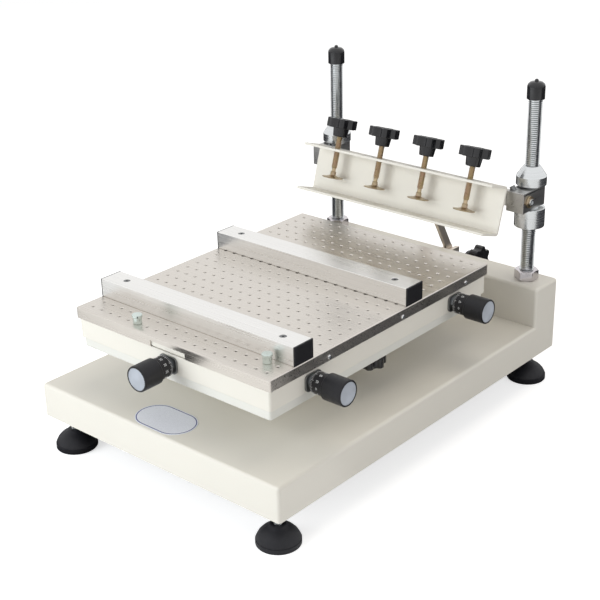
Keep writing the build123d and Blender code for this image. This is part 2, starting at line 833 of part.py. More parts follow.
# Hinge shaft through both blocks, with a washer and a screw head on each end
shaft_half = post_x + block_width / 2 + sliding_gap
with BuildPart() as hinge_shaft:
    with BuildSketch(across(-shaft_half)):
        with Locations((pivot_y, pivot_z)):
            Circle(shaft_diameter / 2)
    extrude(amount=2 * shaft_half)
keep(hinge_shaft, "hinge_shaft")

with BuildPart() as pivot_screws:
    for side in (-1, 1):
        with BuildSketch(across(side * shaft_half)):
            with Locations((pivot_y, pivot_z)):
                Circle(washer_diameter / 2)
        extrude(amount=side * washer_thickness)
        with BuildSketch(across(side * (shaft_half + washer_thickness))):
            with Locations((pivot_y, pivot_z)):
                Circle(pivot_screw_diameter / 2)
        extrude(amount=side * pivot_screw_head)
keep(pivot_screws, "pivot_screws")

# Support arm: a flat bar with an eye on the shaft
with BuildPart() as support_arm:
    arm_origin = Vector(mid_x + arm_x, mid_y + pivot_y, pivot_z)
    with BuildSketch(Plane(origin=arm_origin, x_dir=arm_down, z_dir=(1, 0, 0))):
        Circle(bracket_radius)
        with Locations((arm_length / 2, 0)):
            Rectangle(arm_length, arm_width)
        Circle(shaft_diameter / 2 + running_gap, mode=Mode.SUBTRACT)
    extrude(amount=arm_thickness / 2, both=True)
keep(support_arm, "support_arm")

# Fork behind the riser: two cheeks beside the arm, on a plate
fork_top = riser_top - fork_below_riser
fork_gap = arm_thickness + 2 * arm_side_gap
fork_width = fork_gap + 2 * fork_cheek
with BuildPart() as arm_fork:
    with BuildSketch(across(arm_x)):
        with Locations((base_back + fork_reach / 2, fork_top - fork_height / 2)):
            Rectangle(fork_reach, fork_height)
    extrude(amount=fork_width / 2, both=True)
    with BuildSketch(across(arm_x)):
        with Locations((base_back + fork_plate + fork_reach / 2, fork_top - fork_height / 2)):
            Rectangle(fork_reach, fork_height)
    extrude(amount=fork_gap / 2, both=True, mode=Mode.SUBTRACT)
    with BuildSketch(across(arm_x)):
        with Locations((arm_lock_y, arm_lock_z)):
            Circle(clamp_screw_diameter / 2 + running_gap)
    extrude(amount=fork_width, mode=Mode.SUBTRACT)
keep(arm_fork, "arm_fork")

# Lock of the arm: a screw through the right cheek, with a star knob
lock_start = arm_x + arm_thickness / 2 + sliding_gap
lock_origin = (mid_x, mid_y + arm_lock_y, arm_lock_z)
lock_axis = Plane(origin=lock_origin, x_dir=(0, 1, 0), z_dir=(1, 0, 0))
with BuildPart() as arm_lock_screw:
    with BuildSketch(lock_axis.offset(lock_start)):
        Circle(clamp_screw_diameter / 2)
    extrude(amount=arm_knob_x - hub_length + screw_in_knob - lock_start)
keep(arm_lock_screw, "arm_lock_screw")
keep(star_knob(lock_axis.offset(arm_knob_x - hub_length)), "arm_lock_knob")

# Lock of the table: a screw through the box floor, with a star knob below the tray
lock_down = Plane(
    origin=(mid_x + table_lock_x, mid_y + stage_y + table_lock_y, tray_bottom - table_knob_gap),
    x_dir=(1, 0, 0),
    z_dir=(0, 0, -1),
)
with BuildPart() as table_lock_screw:
    with BuildSketch(lock_down.offset(screw_in_knob)):
        Circle(clamp_screw_diameter / 2)
    extrude(amount=-(pan_bottom - table_screw_gap - tray_bottom + table_knob_gap + screw_in_knob))
keep(table_lock_screw, "table_lock_screw")
keep(star_knob(lock_down, table_hub_length), "table_lock_knob")

# Stencil clamps: pad, screw and knob at each tapped hole, numbered from the left
pad_bottom = channel_low + channel_sheet + clamp_opening
pad_top = pad_bottom + pad_thickness + pad_hub_height
for number in range(clamp_count):
    clamp_x = (number - (clamp_count - 1) / 2) * clamp_pitch
    with BuildPart() as clamp_pad:
        with BuildSketch(clamp_plane(clamp_x, pad_bottom)):
            Circle(pad_diameter / 2)
        extrude(amount=pad_thickness)
        with BuildSketch(clamp_plane(clamp_x, pad_bottom + pad_thickness)):
            Circle(pad_hub_diameter / 2)
        extrude(amount=pad_hub_height)
    keep(clamp_pad, f"clamp_pad_{number + 1}")
    knob_start = channel_over + clamp_knob_gap
    with BuildPart() as clamp_screw:
        with BuildSketch(clamp_plane(clamp_x, pad_top)):
            Circle(clamp_screw_diameter / 2)
        extrude(amount=knob_start + screw_in_knob - pad_top)
    keep(clamp_screw, f"clamp_screw_{number + 1}")
    keep(star_knob(clamp_plane(clamp_x, knob_start)), f"clamp_knob_{number + 1}")
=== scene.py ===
import json
from math import asin, ceil, cos, pi, radians, sin, tan

import bmesh
import bpy
from bpy.props import FloatProperty, FloatVectorProperty, IntProperty, PointerProperty
from mathutils import Matrix, Vector

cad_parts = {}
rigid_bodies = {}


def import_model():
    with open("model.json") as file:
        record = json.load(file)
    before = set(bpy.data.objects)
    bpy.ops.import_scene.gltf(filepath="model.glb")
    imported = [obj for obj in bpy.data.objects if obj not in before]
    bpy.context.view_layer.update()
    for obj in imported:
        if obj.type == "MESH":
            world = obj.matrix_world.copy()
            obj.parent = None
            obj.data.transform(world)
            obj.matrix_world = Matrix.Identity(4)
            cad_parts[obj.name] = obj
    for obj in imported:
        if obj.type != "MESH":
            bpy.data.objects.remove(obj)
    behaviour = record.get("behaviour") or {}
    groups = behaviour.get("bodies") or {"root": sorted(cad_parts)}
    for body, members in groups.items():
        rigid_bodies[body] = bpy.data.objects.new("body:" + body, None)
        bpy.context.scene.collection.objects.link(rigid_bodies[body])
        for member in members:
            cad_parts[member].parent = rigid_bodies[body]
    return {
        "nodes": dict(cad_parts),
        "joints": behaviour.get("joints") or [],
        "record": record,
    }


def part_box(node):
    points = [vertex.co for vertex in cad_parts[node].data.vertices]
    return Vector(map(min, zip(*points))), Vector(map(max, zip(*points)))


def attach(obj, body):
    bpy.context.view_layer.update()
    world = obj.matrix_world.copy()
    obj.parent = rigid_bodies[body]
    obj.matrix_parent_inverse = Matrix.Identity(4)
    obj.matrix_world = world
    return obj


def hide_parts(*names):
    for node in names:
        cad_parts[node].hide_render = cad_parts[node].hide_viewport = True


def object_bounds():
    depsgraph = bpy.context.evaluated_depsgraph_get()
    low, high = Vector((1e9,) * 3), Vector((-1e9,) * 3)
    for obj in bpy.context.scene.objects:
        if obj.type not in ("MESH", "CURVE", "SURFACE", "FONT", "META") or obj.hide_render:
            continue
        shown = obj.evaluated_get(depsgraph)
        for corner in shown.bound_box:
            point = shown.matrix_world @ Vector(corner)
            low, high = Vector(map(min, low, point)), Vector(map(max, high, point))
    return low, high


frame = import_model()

bl_info = {
    "name": "Stencil printer",
    "version": (1, 0, 0),
    "blender": (4, 5, 0),
    "location": "View3D > Sidebar > Printer",
    "description": "Dresses the packed frame of a bench stencil printer, piece by piece",
    "category": "Add Mesh",
}

MM = 0.001
MERGE = 0.0005 * MM
NEAR = 0.005 * MM
SHARP_ANGLE = radians(32)
STEEP = radians(60)
X, Y, Z = 0, 1, 2
CAD_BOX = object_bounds()
JOINTS = {joint["name"]: joint for joint in frame["joints"]}
BODY_OF = {
    node: body
    for body, nodes in frame["record"]["behaviour"]["bodies"].items()
    for node in nodes
}
SIDES = ("left", "right")
FEET = ("front_left", "front_right", "rear_left", "rear_right")
ADJUSTERS = ("y", "x", "theta")
CLAMPS = (1, 2, 3, 4)


# Places read from the frame

def centre(node):
    """Middle of a node's box."""
    low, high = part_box(node)
    return (low + high) / 2


def joint_point(name):
    """Point on a hinge's axis."""
    return Vector(JOINTS[name]["pos_m"])


def joint_axis(name):
    """Direction of a joint's axis."""
    return Vector(JOINTS[name]["axis"])


def reach(node, point, axis):
    """Where a node starts and ends along an axis, measured from a point on it."""
    along = [(vertex.co - point).dot(axis) for vertex in frame["nodes"][node].data.vertices]
    return min(along), max(along)


def extents(node, place):
    """Lowest and highest corner of a node in the coordinates of a local place."""
    into = place.inverted()
    points = [into @ vertex.co for vertex in frame["nodes"][node].data.vertices]
    low = Vector([min(point[axis] for point in points) for axis in (X, Y, Z)])
    high = Vector([max(point[axis] for point in points) for axis in (X, Y, Z)])
    return low, high


def standing(point, axis):
    """Place of a shape that is made along Z and stands on a point, along an axis."""
    return Matrix.Translation(point) @ Vector(axis).to_track_quat("Z", "Y").to_matrix().to_4x4()


def facing(point, across, along):
    """Place of a shape with its X across an axis and its Z along it."""
    return Matrix.Translation(point) @ Matrix((across, along.cross(across), along)).transposed().to_4x4()


def seat_of(node, joint):
    """Place of a node's near end on its joint's axis, and the node's length along it."""
    point, axis = joint_point(joint), joint_axis(joint)
    start, end = reach(node, point, axis)
    return standing(point + axis * start, axis), end - start


def holder_place():
    """Place of the leaning holder: X right, Y back along its flanges, Z square to them."""
    tilt = radians(JOINTS["holder_tilt"]["range_deg"][1])
    return Matrix.Translation(joint_point("holder_tilt")) @ Matrix.Rotation(-tilt, 4, "X")


# Work on a bmesh

def in_mm(*points):
    """Outline points given in millimetres."""
    return [tuple(number * MM for number in point) for point in points]


def verts_in(items):
    """The vertices among what an operator returns."""
    return [item for item in items if isinstance(item, bmesh.types.BMVert)]


def parts_of(bm):
    """Every vertex, edge and face of a shape."""
    return bm.verts[:] + bm.edges[:] + bm.faces[:]


def placed(bm, place):
    """Move a shape to its place, which is a matrix or a point."""
    matrix = place if isinstance(place, Matrix) else Matrix.Translation(place)
    bmesh.ops.transform(bm, matrix=matrix, verts=bm.verts)
    return bm


def painted(bm, index):
    """Give all of a shape's faces one of its piece's finishes."""
    for face in bm.faces:
        face.material_index = index
    return bm


def wire(bm, points, closed=False):
    """Add a line of vertices and edges and return them."""
    verts = [bm.verts.new(point) for point in points]
    pairs = list(zip(verts, verts[1:])) + ([(verts[-1], verts[0])] if closed else [])
    return verts + [bm.edges.new(pair) for pair in pairs]


def push(bm, faces, offset):
    """Extrude faces by an offset and return the moved faces."""
    made = bmesh.ops.extrude_face_region(bm, geom=faces)["geom"]
    bmesh.ops.translate(bm, vec=offset, verts=verts_in(made))
    return [item for item in made if isinstance(item, bmesh.types.BMFace)]


def draw_out(bm, edges, offset):
    """Extrude edges by an offset and return the moved vertices."""
    moved = verts_in(bmesh.ops.extrude_edge_only(bm, edges=edges)["geom"])
    bmesh.ops.translate(bm, vec=offset, verts=moved)
    return moved


def farthest_face(bm, axis):
    """Face whose middle lies farthest along an axis."""
    return max(bm.faces, key=lambda face: face.calc_center_median()[axis])


def lies_at(part, axis, value):
    """True for an edge or a face that lies square to an axis, at a value along it."""
    return all(abs(vert.co[axis] - value) < NEAR for vert in part.verts)


def runs_along(edge, axis):
    """True for an edge whose ends lie apart along an axis."""
    return abs(edge.verts[0].co[axis] - edge.verts[1].co[axis]) > MM


def sharp_edges(bm, angle=radians(30)):
    """Edges where two faces meet at more than an angle."""
    return [edge for edge in bm.edges if edge.is_manifold and edge.calc_face_angle() > angle]


def soften(bm, edges, width, segments=2):
    """Round a set of edges."""
    bmesh.ops.bevel(
        bm, geom=edges, offset=width, offset_type="OFFSET", segments=segments, profile=0.5,
        affect="EDGES", clamp_overlap=True, material=-1,
    )
    return bm


def soften_upright(bm, width, segments):
    """Round the edges that stand up along Z."""
    return soften(bm, [edge for edge in bm.edges if runs_along(edge, Z)], width, segments)


def slice_flat(bm, point, direction):
    """Cut off what lies beyond a plane and close the cut."""
    made = bmesh.ops.bisect_plane(
        bm, geom=parts_of(bm), dist=MERGE, plane_co=point, plane_no=direction, clear_outer=True
    )
    rim = [item for item in made["geom_cut"] if isinstance(item, bmesh.types.BMEdge)]
    bmesh.ops.holes_fill(bm, edges=rim, sides=0)
    return bm


def mesh_of(bm, name="shape"):
    """Mesh that takes over a bmesh."""
    mesh = bpy.data.meshes.new(name)
    bm.to_mesh(mesh)
    bm.free()
    return mesh


def shown(name, data):
    """New object that shows a mesh, a text, a lamp or a camera in the scene."""
    item = bpy.data.objects.new(name, data)
    bpy.context.scene.collection.objects.link(item)
    return item


def shape_of(item):
    """Bmesh of an object with its modifiers, or of the letters of a text."""
    mesh = bpy.data.meshes.new_from_object(item.evaluated_get(bpy.context.evaluated_depsgraph_get()))
    bm = bmesh.new()
    bm.from_mesh(mesh)
    bpy.data.meshes.remove(mesh)
    return bm


def joined(shapes):
    """One bmesh that holds several shapes."""
    whole = bmesh.new()
    for bm in shapes:
        mesh = mesh_of(bm)
        whole.from_mesh(mesh)
        bpy.data.meshes.remove(mesh)
    return whole


def cut(bm, tool):
    """Take one closed shape out of another."""
    solid, taken = (shown("cut", mesh_of(shape)) for shape in (bm, tool))
    modifier = solid.modifiers.new("Cut", "BOOLEAN")
    modifier.operation = "DIFFERENCE"
    modifier.solver = "EXACT"
    modifier.object = taken
    result = shape_of(solid)
    bpy.data.batch_remove([solid, taken, solid.data, taken.data])
    return result


# Shapes that several pieces share

def box(low, high):
    """Closed box between two corners."""
    low, high = Vector(low), Vector(high)
    bm = bmesh.new()
    place = Matrix.Translation((low + high) / 2) @ Matrix.Diagonal((*(high - low), 1))
    bmesh.ops.create_cube(bm, size=1, matrix=place)
    return bm


def prism(points, offset):
    """Push a flat outline of 3-D points along an offset, as a closed solid."""
    bm = bmesh.new()
    face = bm.faces.new([bm.verts.new(point) for point in points])
    push(bm, [face], offset)
    bmesh.ops.recalc_face_normals(bm, faces=bm.faces)
    return bm


def turn_round(bm, geometry, steps, climb=0.0):
    """Spin a line once round Z, level and closed or as one turn of a helix."""
    bmesh.ops.spin(
        bm, geom=geometry, cent=(0, 0, 0), axis=(0, 0, 1), dvec=(0, 0, climb / steps),
        angle=2 * pi, steps=steps, use_merge=climb == 0,
    )


def lathe(outline, steps=48, closed=False):
    """Turn an outline of (radius, height) points once round Z."""
    bm = bmesh.new()
    turn_round(bm, wire(bm, [(radius, 0, height) for radius, height in outline], closed), steps)
    bmesh.ops.remove_doubles(bm, verts=bm.verts, dist=MERGE)
    bmesh.ops.recalc_face_normals(bm, faces=bm.faces)
    return bm


def disc(radius, height, rounding, steps=48):
    """Round disc or bar along Z with softened rims."""
    bm = lathe([(0, 0), (radius, 0), (radius, height), (0, height)], steps)
    return soften(bm, sharp_edges(bm), rounding)


def hexagon(across, height, bore=0.0):
    """Hexagon along Z with turned chamfers, with a bore or solid."""
    flat = across / 2
    corner = flat / cos(radians(30)) * 0.985
    rim = flat * 0.96
    slope = (corner - rim) * tan(radians(30))
    outline = [(bore, 0), (rim, 0), (corner, slope), (corner, height - slope), (rim, height), (bore, height)]
    bm = lathe(outline, closed=bore > 0)
    for number in range(6):
        direction = Vector((cos(number * pi / 3), sin(number * pi / 3), 0))
        slice_flat(bm, direction * flat, direction)
    return bm


def threaded_rod(diameter, pitch, length, steps):
    """Threaded rod up from the origin: one turn climbs a helix, is doubled upwards and cut flat."""
    crest = diameter / 2
    root = crest - 0.61 * pitch
    outline = [(root, 0), (root, pitch / 4), (crest, pitch * 9 / 16), (crest, pitch * 11 / 16), (root, pitch)]
    spare = 2
    turns = ceil(length / pitch) + 2 * spare
    bm = bmesh.new()
    line = wire(bm, [(radius, 0, height - spare * pitch) for radius, height in outline])
    turn_round(bm, line, steps, climb=pitch)
    made = 1
    while made < turns:
        copy = bmesh.ops.duplicate(bm, geom=parts_of(bm))["geom"]
        bmesh.ops.translate(bm, vec=(0, 0, made * pitch), verts=verts_in(copy))
        made *= 2
    bmesh.ops.remove_doubles(bm, verts=bm.verts, dist=MERGE)
    slice_flat(bm, (0, 0, 0), (0, 0, -1))
    slice_flat(bm, (0, 0, length), (0, 0, 1))
    bmesh.ops.recalc_face_normals(bm, faces=bm.faces)
    return bm


def socket_screw(diameter, height, key):
    """Screw head along Z with a six-sided socket."""
    head = disc(diameter / 2, height, 0.06 * diameter, steps=32)
    return cut(head, placed(hexagon(key, height), (0, 0, height * 0.45)))


def pan_screw(diameter, height):
    """Low rounded screw head along Z with a cross recess."""
    radius = diameter / 2
    outline = [(0, 0), (radius, 0), (radius, 0.35 * height), (0.75 * radius, 0.85 * height), (0, height)]
    head = lathe(outline, steps=24)
    blade = 0.12 * radius
    for long_x, long_y in ((0.55 * radius, blade), (blade, 0.55 * radius)):
        head = cut(head, box((-long_x, -long_y, 0.45 * height), (long_x, long_y, 2 * height)))
    return head


def star_outline(knobs):
    """Points round a star knob: a hollow between two lobes, then the crown of the next lobe."""
    radius, scallop = knobs.star_diameter / 2, knobs.scallop_radius
    away = radius + 0.5 * MM
    half = asin(scallop * 0.955 / radius)
    period = 2 * pi / knobs.lobes
    points = []
    for lobe in range(knobs.lobes):
        for step in range(9):
            turn = half * (step / 4 - 1)
            inner = away * cos(turn) - (max(scallop ** 2 - (away * sin(turn)) ** 2, 0)) ** 0.5
            points.append((min(inner, radius), lobe * period + turn))
        for step in (1, 2):
            points.append((radius, lobe * period + half + (period - 2 * half) * step / 3))
    return [(distance * cos(angle), distance * sin(angle), 0) for distance, angle in points]


def star_head(knobs):
    """Lobed head of a star knob along Z, from the origin up."""
    bm = prism(star_outline(knobs), (0, 0, knobs.star_thickness))
    soften(bm, [edge for edge in sharp_edges(bm) if runs_along(edge, Z)], 2 * MM, 3)
    for height, width in ((0, knobs.edge_round), (knobs.star_thickness, 2 * knobs.edge_round)):
        soften(bm, [edge for edge in sharp_edges(bm, STEEP) if lies_at(edge, Z, height)], width, 4)
    return bm


def star_knob(knobs, length):
    """Star knob along Z: nearly straight hub, then the lobed head."""
    foot, hub_radius = 2.5 * MM, 10.5 * MM
    head_start = length - knobs.star_thickness
    hub = lathe([
        (0, foot), (8.6 * MM, foot), (9.3 * MM, foot + 0.8 * MM), (hub_radius, head_start),
        (hub_radius, length - MM), (0, length - MM),
    ])
    return joined([hub, placed(star_head(knobs), (0, 0, head_start))])


NUMERALS = {}


def numeral(text, height, thickness):
    """Copy of a printed number, which is made the first time that it is asked for."""
    if text not in NUMERALS:
        NUMERALS[text] = new_numeral(text, height, thickness)
    return NUMERALS[text].copy()


def new_numeral(text, height, thickness):
    """Flat printed number as a thin closed shape in XY, centred on the origin."""
    curve = bpy.data.curves.new("numeral", "FONT")
    curve.body = text
    curve.size = height
    curve.align_x = "CENTER"
    curve.align_y = "CENTER"
    curve.extrude = thickness / 2
    curve.resolution_u = 2
    item = shown("numeral", curve)
    bm = shape_of(item)
    bmesh.ops.remove_doubles(bm, verts=bm.verts, dist=MERGE)
    bpy.data.batch_remove([item, curve])
    return bm


def make_piece(bm, name, finishes, node=None, body=None):
    """Turn a bmesh into a finished piece, which stands for a node and rides on its body, or on one named."""
    mesh = mesh_of(bm, name)
    for finish in finishes.split():
        mesh.materials.append(finish_named(finish))
    mesh.shade_smooth()
    mesh.set_sharp_from_angle(angle=SHARP_ANGLE)
    piece = shown(name, mesh)
    piece.modifiers.new("Even shading", "WEIGHTED_NORMAL").keep_sharp = True
    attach(piece, body or BODY_OF[node])
    if node:
        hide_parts(node)
    return piece


# Finishes

class Finish:
    """Node tree of one finish, with short calls for the nodes that the finishes share."""

    def __init__(self, name, colour, metallic, roughness):
        self.material = bpy.data.materials.new(name)
        self.material.use_nodes = True
        self.nodes = self.material.node_tree.nodes
        self.links = self.material.node_tree.links
        self.shader = self.nodes["Principled BSDF"]
        self.shader.inputs["Base Color"].default_value = (*colour[:3], 1)
        self.shader.inputs["Metallic"].default_value = metallic
        self.shader.inputs["Roughness"].default_value = roughness
        self.point = self.nodes.new("ShaderNodeTexCoord").outputs["Object"]

    def stretched(self, scale):
        """Coordinates stretched along the axes, for brushed lines."""
        mapping = self.nodes.new("ShaderNodeMapping")
        mapping.inputs["Scale"].default_value = scale
        self.links.new(self.point, mapping.inputs["Vector"])
        return mapping.outputs["Vector"]

    def noise(self, scale, detail=2.0, vector=None):
        """Noise at a scale in features per metre."""
        noise = self.nodes.new("ShaderNodeTexNoise")
        noise.inputs["Scale"].default_value = scale
        noise.inputs["Detail"].default_value = detail
        self.links.new(vector or self.point, noise.inputs["Vector"])
        return noise.outputs["Fac"]

    def spread(self, value, low, high):
        """Noise brought to a range."""
        spread = self.nodes.new("ShaderNodeMapRange")
        for socket, number in (("From Min", 0.25), ("From Max", 0.75), ("To Min", low), ("To Max", high)):
            spread.inputs[socket].default_value = number
        self.links.new(value, spread.inputs["Value"])
        return spread.outputs["Result"]

    def vary_colour(self, value, first, second):
        """Base colour that drifts between two tones."""
        mix = self.nodes.new("ShaderNodeMix")
        mix.data_type = "RGBA"
        mix.inputs["A"].default_value = (*first, 1)
        mix.inputs["B"].default_value = (*second, 1)
        self.links.new(self.spread(value, 0, 1), mix.inputs["Factor"])
        self.links.new(mix.outputs["Result"], self.shader.inputs["Base Color"])

    def vary_roughness(self, value, low, high):
        """Roughness that drifts between two values."""
        self.links.new(self.spread(value, low, high), self.shader.inputs["Roughness"])

    def bump(self, value, depth, strength):
        """Fine relief of a depth in metres."""
        bump = self.nodes.new("ShaderNodeBump")
        bump.inputs["Distance"].default_value = depth
        bump.inputs["Strength"].default_value = strength
        self.links.new(value, bump.inputs["Height"])
        self.links.new(bump.outputs["Normal"], self.shader.inputs["Normal"])

    def coat(self, weight, roughness):
        """Clear layer over the surface."""
        self.shader.inputs["Coat Weight"].default_value = weight
        self.shader.inputs["Coat Roughness"].default_value = roughness


def shade(colour, factor):
    """A colour made lighter or darker."""
    return tuple(min(channel * factor, 1.0) for channel in colour[:3])


def powder_coat(name, colour):
    """Smooth powder coat with a faint orange peel."""
    finish = Finish(name, colour, 0.0, 0.4)
    finish.vary_colour(finish.noise(7, 3), shade(colour, 0.97), shade(colour, 1.02))
    finish.vary_roughness(finish.noise(60, 3), 0.34, 0.44)
    finish.bump(finish.noise(700, 1), 0.02 * MM, 0.5)
    finish.coat(0.12, 0.2)
    return finish.material


def brushed(name, colour, roughness, grain):
    """Metal brushed one way: long fine lines in the roughness and the relief."""
    finish = Finish(name, colour, 1.0, roughness)
    lines = finish.noise(1, 3, finish.stretched(grain))
    finish.vary_colour(lines, shade(colour, 0.94), shade(colour, 1.04))
    finish.vary_roughness(lines, roughness - 0.06, roughness + 0.08)
    finish.bump(lines, 0.01 * MM, 0.35)
    return finish.material


def bright_metal(name, colour, roughness):
    """Turned or plated metal with faint clouding and fine marks."""
    finish = Finish(name, colour, 1.0, roughness)
    finish.vary_colour(finish.noise(90, 3), shade(colour, 0.9), shade(colour, 1.05))
    finish.vary_roughness(finish.noise(260, 4), roughness - 0.05, roughness + 0.09)
    finish.bump(finish.noise(1500, 2), 0.004 * MM, 0.2)
    return finish.material


def yellow_plating(name, colour):
    """Yellow zinc plating, which drifts from gold to a faint pink and green."""
    finish = Finish(name, colour, 1.0, 0.3)
    red, green, blue = colour[:3]
    finish.vary_colour(finish.noise(120, 3), (red, green * 0.9, blue * 0.95), (red * 0.95, green, blue * 0.8))
    finish.vary_roughness(finish.noise(400, 3), 0.24, 0.38)
    finish.bump(finish.noise(1800, 2), 0.006 * MM, 0.4)
    return finish.material


def moulded_plastic(name, colour, roughness, coat=0.0):
    """Moulding with a faint skin texture, dull or glossy."""
    finish = Finish(name, colour, 0.0, roughness)
    finish.shader.inputs["Specular IOR Level"].default_value = 0.35
    finish.coat(coat, 0.12)
    finish.vary_colour(finish.noise(50, 2), shade(colour, 0.85), shade(colour, 1.25))
    finish.vary_roughness(finish.noise(300, 3), roughness - 0.06, roughness + 0.08)
    finish.bump(finish.noise(1600, 2), 0.01 * MM, 0.35)
    return finish.material


def printed_mark(name, colour):
    """Printed ink, a little uneven."""
    finish = Finish(name, colour, 0.0, 0.5)
    finish.vary_colour(finish.noise(900, 2), shade(colour, 0.9), shade(colour, 1.05))
    return finish.material


def finish_named(name):
    """Finish of that name, made the first time that it is asked for."""
    return bpy.data.materials.get(name) or new_finish(name)


def new_finish(name):
    """One of the printer's finishes: how it is made, its colour and, where they differ, its details."""
    colours = bpy.context.scene.printer_colours
    steel, cream, black = colours.steel, colours.cream, colours.black
    pan_cream = (cream[0] * 0.93, cream[1] * 0.96, cream[2] * 0.99)
    make, colour, *details = {
        "cream_coat": (powder_coat, cream),
        "pan_coat": (powder_coat, pan_cream),
        "brushed_sheet": (brushed, colours.plate, 0.3, (9, 900, 900)),
        "satin_rail": (brushed, colours.aluminium, 0.3, (8, 700, 700)),
        "milled_block": (brushed, shade(colours.aluminium, 0.6), 0.3, (500, 14, 500)),
        "turned_steel": (brushed, steel, 0.23, (6, 6, 900)),
        "dull_steel": (brushed, (0.72, 0.65, 0.57), 0.4, (500, 500, 14)),
        "inner_steel": (brushed, shade(steel, 0.7), 0.36, (12, 500, 500)),
        "bright_steel": (bright_metal, steel, 0.22),
        "thread_steel": (bright_metal, steel, 0.14),
        "dark_steel": (bright_metal, shade(steel, 0.3), 0.34),
        # The faint purple tint in the nut steel's colour is a painted reflection, not a colour of the steel.
        "nut_steel": (bright_metal, (0.64, 0.61, 0.63), 0.18),
        "pin_plating": (bright_metal, (0.66, 0.74, 0.71), 0.2),
        "yellow_plating": (yellow_plating, colours.yellow_zinc),
        "pad_plating": (yellow_plating, shade(colours.yellow_zinc, 0.75)),
        "gloss_black": (moulded_plastic, shade(black, 0.6), 0.2, 0.45),
        "satin_black": (moulded_plastic, shade(black, 0.7), 0.42),
        "foot_black": (moulded_plastic, black, 0.5),
        "card_black": (moulded_plastic, (0.03, 0.03, 0.035), 0.9),
        "disc_grey": (moulded_plastic, (0.40, 0.43, 0.48), 0.4),
        "white_plastic": (moulded_plastic, (0.78, 0.78, 0.76), 0.45),
        "white_mark": (printed_mark, colours.marks),
        "badge_face": (printed_mark, colours.badge),
        "badge_line": (printed_mark, colours.badge_line),
    }[name]
    return make(name, colour, *details)


# Settings that a user would change

def length(name, description, default, low, high):
    """Setting for a length, given in millimetres."""
    return FloatProperty(
        name=name, description=description, unit="LENGTH", default=default * MM, min=low * MM, max=high * MM
    )


def colour(name, description, *default):
    """Setting for a colour."""
    return FloatVectorProperty(
        name=name, description=description, subtype="COLOR", size=3, min=0, max=1, default=default
    )


def count(name, description, default, low, high):
    """Setting for a whole number."""
    return IntProperty(name=name, description=description, default=default, min=low, max=high)


def amount(name, description, default, high):
    """Setting for a power or a strength."""
    return FloatProperty(name=name, description=description, default=default, min=0, max=high)


class PrinterColours(bpy.types.PropertyGroup):
    """Colours of the printer's finishes."""

    cream: colour("Cream", "Powder coat of the base, the stage and the clamp channel", 0.79, 0.76, 0.69)
    plate: colour("Platform", "Brushed sheet of the perforated platform", 0.71, 0.67, 0.62)
    aluminium: colour("Aluminium", "Rails and carriage blocks", 0.87, 0.86, 0.84)
    steel: colour("Plated steel", "Posts, collars, shaft, spindles and screws", 0.72, 0.74, 0.75)
    yellow_zinc: colour("Yellow zinc", "Clamp screws and pads", 0.58, 0.47, 0.34)
    black: colour("Black plastic", "Knobs, caps, plugs and feet", 0.014, 0.014, 0.017)
    marks: colour("Dial marks", "Numbers and lines on the dials", 0.75, 0.76, 0.78)
    badge: colour("Badge", "Bare face of the oval plate on the base", 0.80, 0.82, 0.89)
    badge_line: colour("Badge line", "Thin line round the oval plate", 0.02, 0.03, 0.2)


class PrinterBase(bpy.types.PropertyGroup):
    """Sizes of the base, its badge and its feet."""

    edge_round: length("Edge round", "Radius of the folded outer edges", 4, 0.5, 10)
    sheet: length("Sheet", "Thickness of the folded sheet", 2, 0.5, 5)
    badge_width: length("Badge width", "Length of the oval plate", 80, 20, 200)
    badge_depth: length("Badge depth", "Width of the oval plate, twice its end radius", 50, 10, 100)
    foot_rim: length("Foot rim", "Height of the upright rim of a foot", 6, 1, 12)


class PrinterThreads(bpy.types.PropertyGroup):
    """Sizes of the screw threads."""

    post_pitch: length("Post pitch", "Pitch of the thread on the posts", 2.5, 1, 5)
    screw_pitch: length("Screw pitch", "Pitch of the clamp and lock screws", 1.25, 0.5, 3)
    steps: count("Steps", "Faces round one turn of a thread", 24, 8, 64)


class PrinterPlate(bpy.types.PropertyGroup):
    """Sizes of the perforated platform."""

    columns: count("Columns", "Holes across the platform", 19, 1, 40)
    rows: count("Rows", "Holes from front to back", 23, 1, 40)
    pitch_x: length("Pitch across", "Distance between holes across the platform", 15, 5, 40)
    pitch_y: length("Pitch along", "Distance between holes from front to back", 17, 5, 40)
    hole: length("Hole", "Diameter of a hole", 3.2, 1, 8)
    hole_mouth: length("Hole mouth", "Diameter of the chamfer at the top of a hole", 5.2, 1, 9)
    hole_sides: count("Hole sides", "Faces round a hole", 12, 6, 32)
    sheet: length("Sheet", "Thickness of the platform sheet", 1.5, 0.5, 4)
    fold: length("Fold", "Outer radius of the fold between the plate and its apron", 1.6, 0.5, 4)
    notch_width: length("Notch width", "Width of the finger notch in the front apron", 54, 10, 200)
    notch_height: length("Notch height", "Height of the finger notch", 7, 1, 12)


class PrinterKnobs(bpy.types.PropertyGroup):
    """Sizes of the star knobs and of the dials."""

    star_diameter: length("Star diameter", "Diameter over the lobes of a star knob", 40, 20, 80)
    star_thickness: length("Star thickness", "Height of the lobed head", 12, 4, 30)
    lobes: count("Lobes", "Lobes of a star knob", 7, 3, 12)
    scallop_radius: length("Scallop radius", "Radius of the hollows between the lobes", 4.6, 2, 8)
    edge_round: length("Edge round", "Radius of the rims of a star knob", 1.2, 0.2, 3)
    dial_diameter: length("Dial diameter", "Diameter of the numbered ring", 25, 15, 40)
    dial_length: length("Dial length", "Length of the numbered ring", 16, 5, 30)
    divisions: count("Divisions", "Lines round a dial", 50, 10, 100)
    number_every: count("Number every", "Lines from one number to the next", 5, 1, 20)
    number_height: length("Number height", "Height of the numbers on a dial", 4.2, 1, 8)


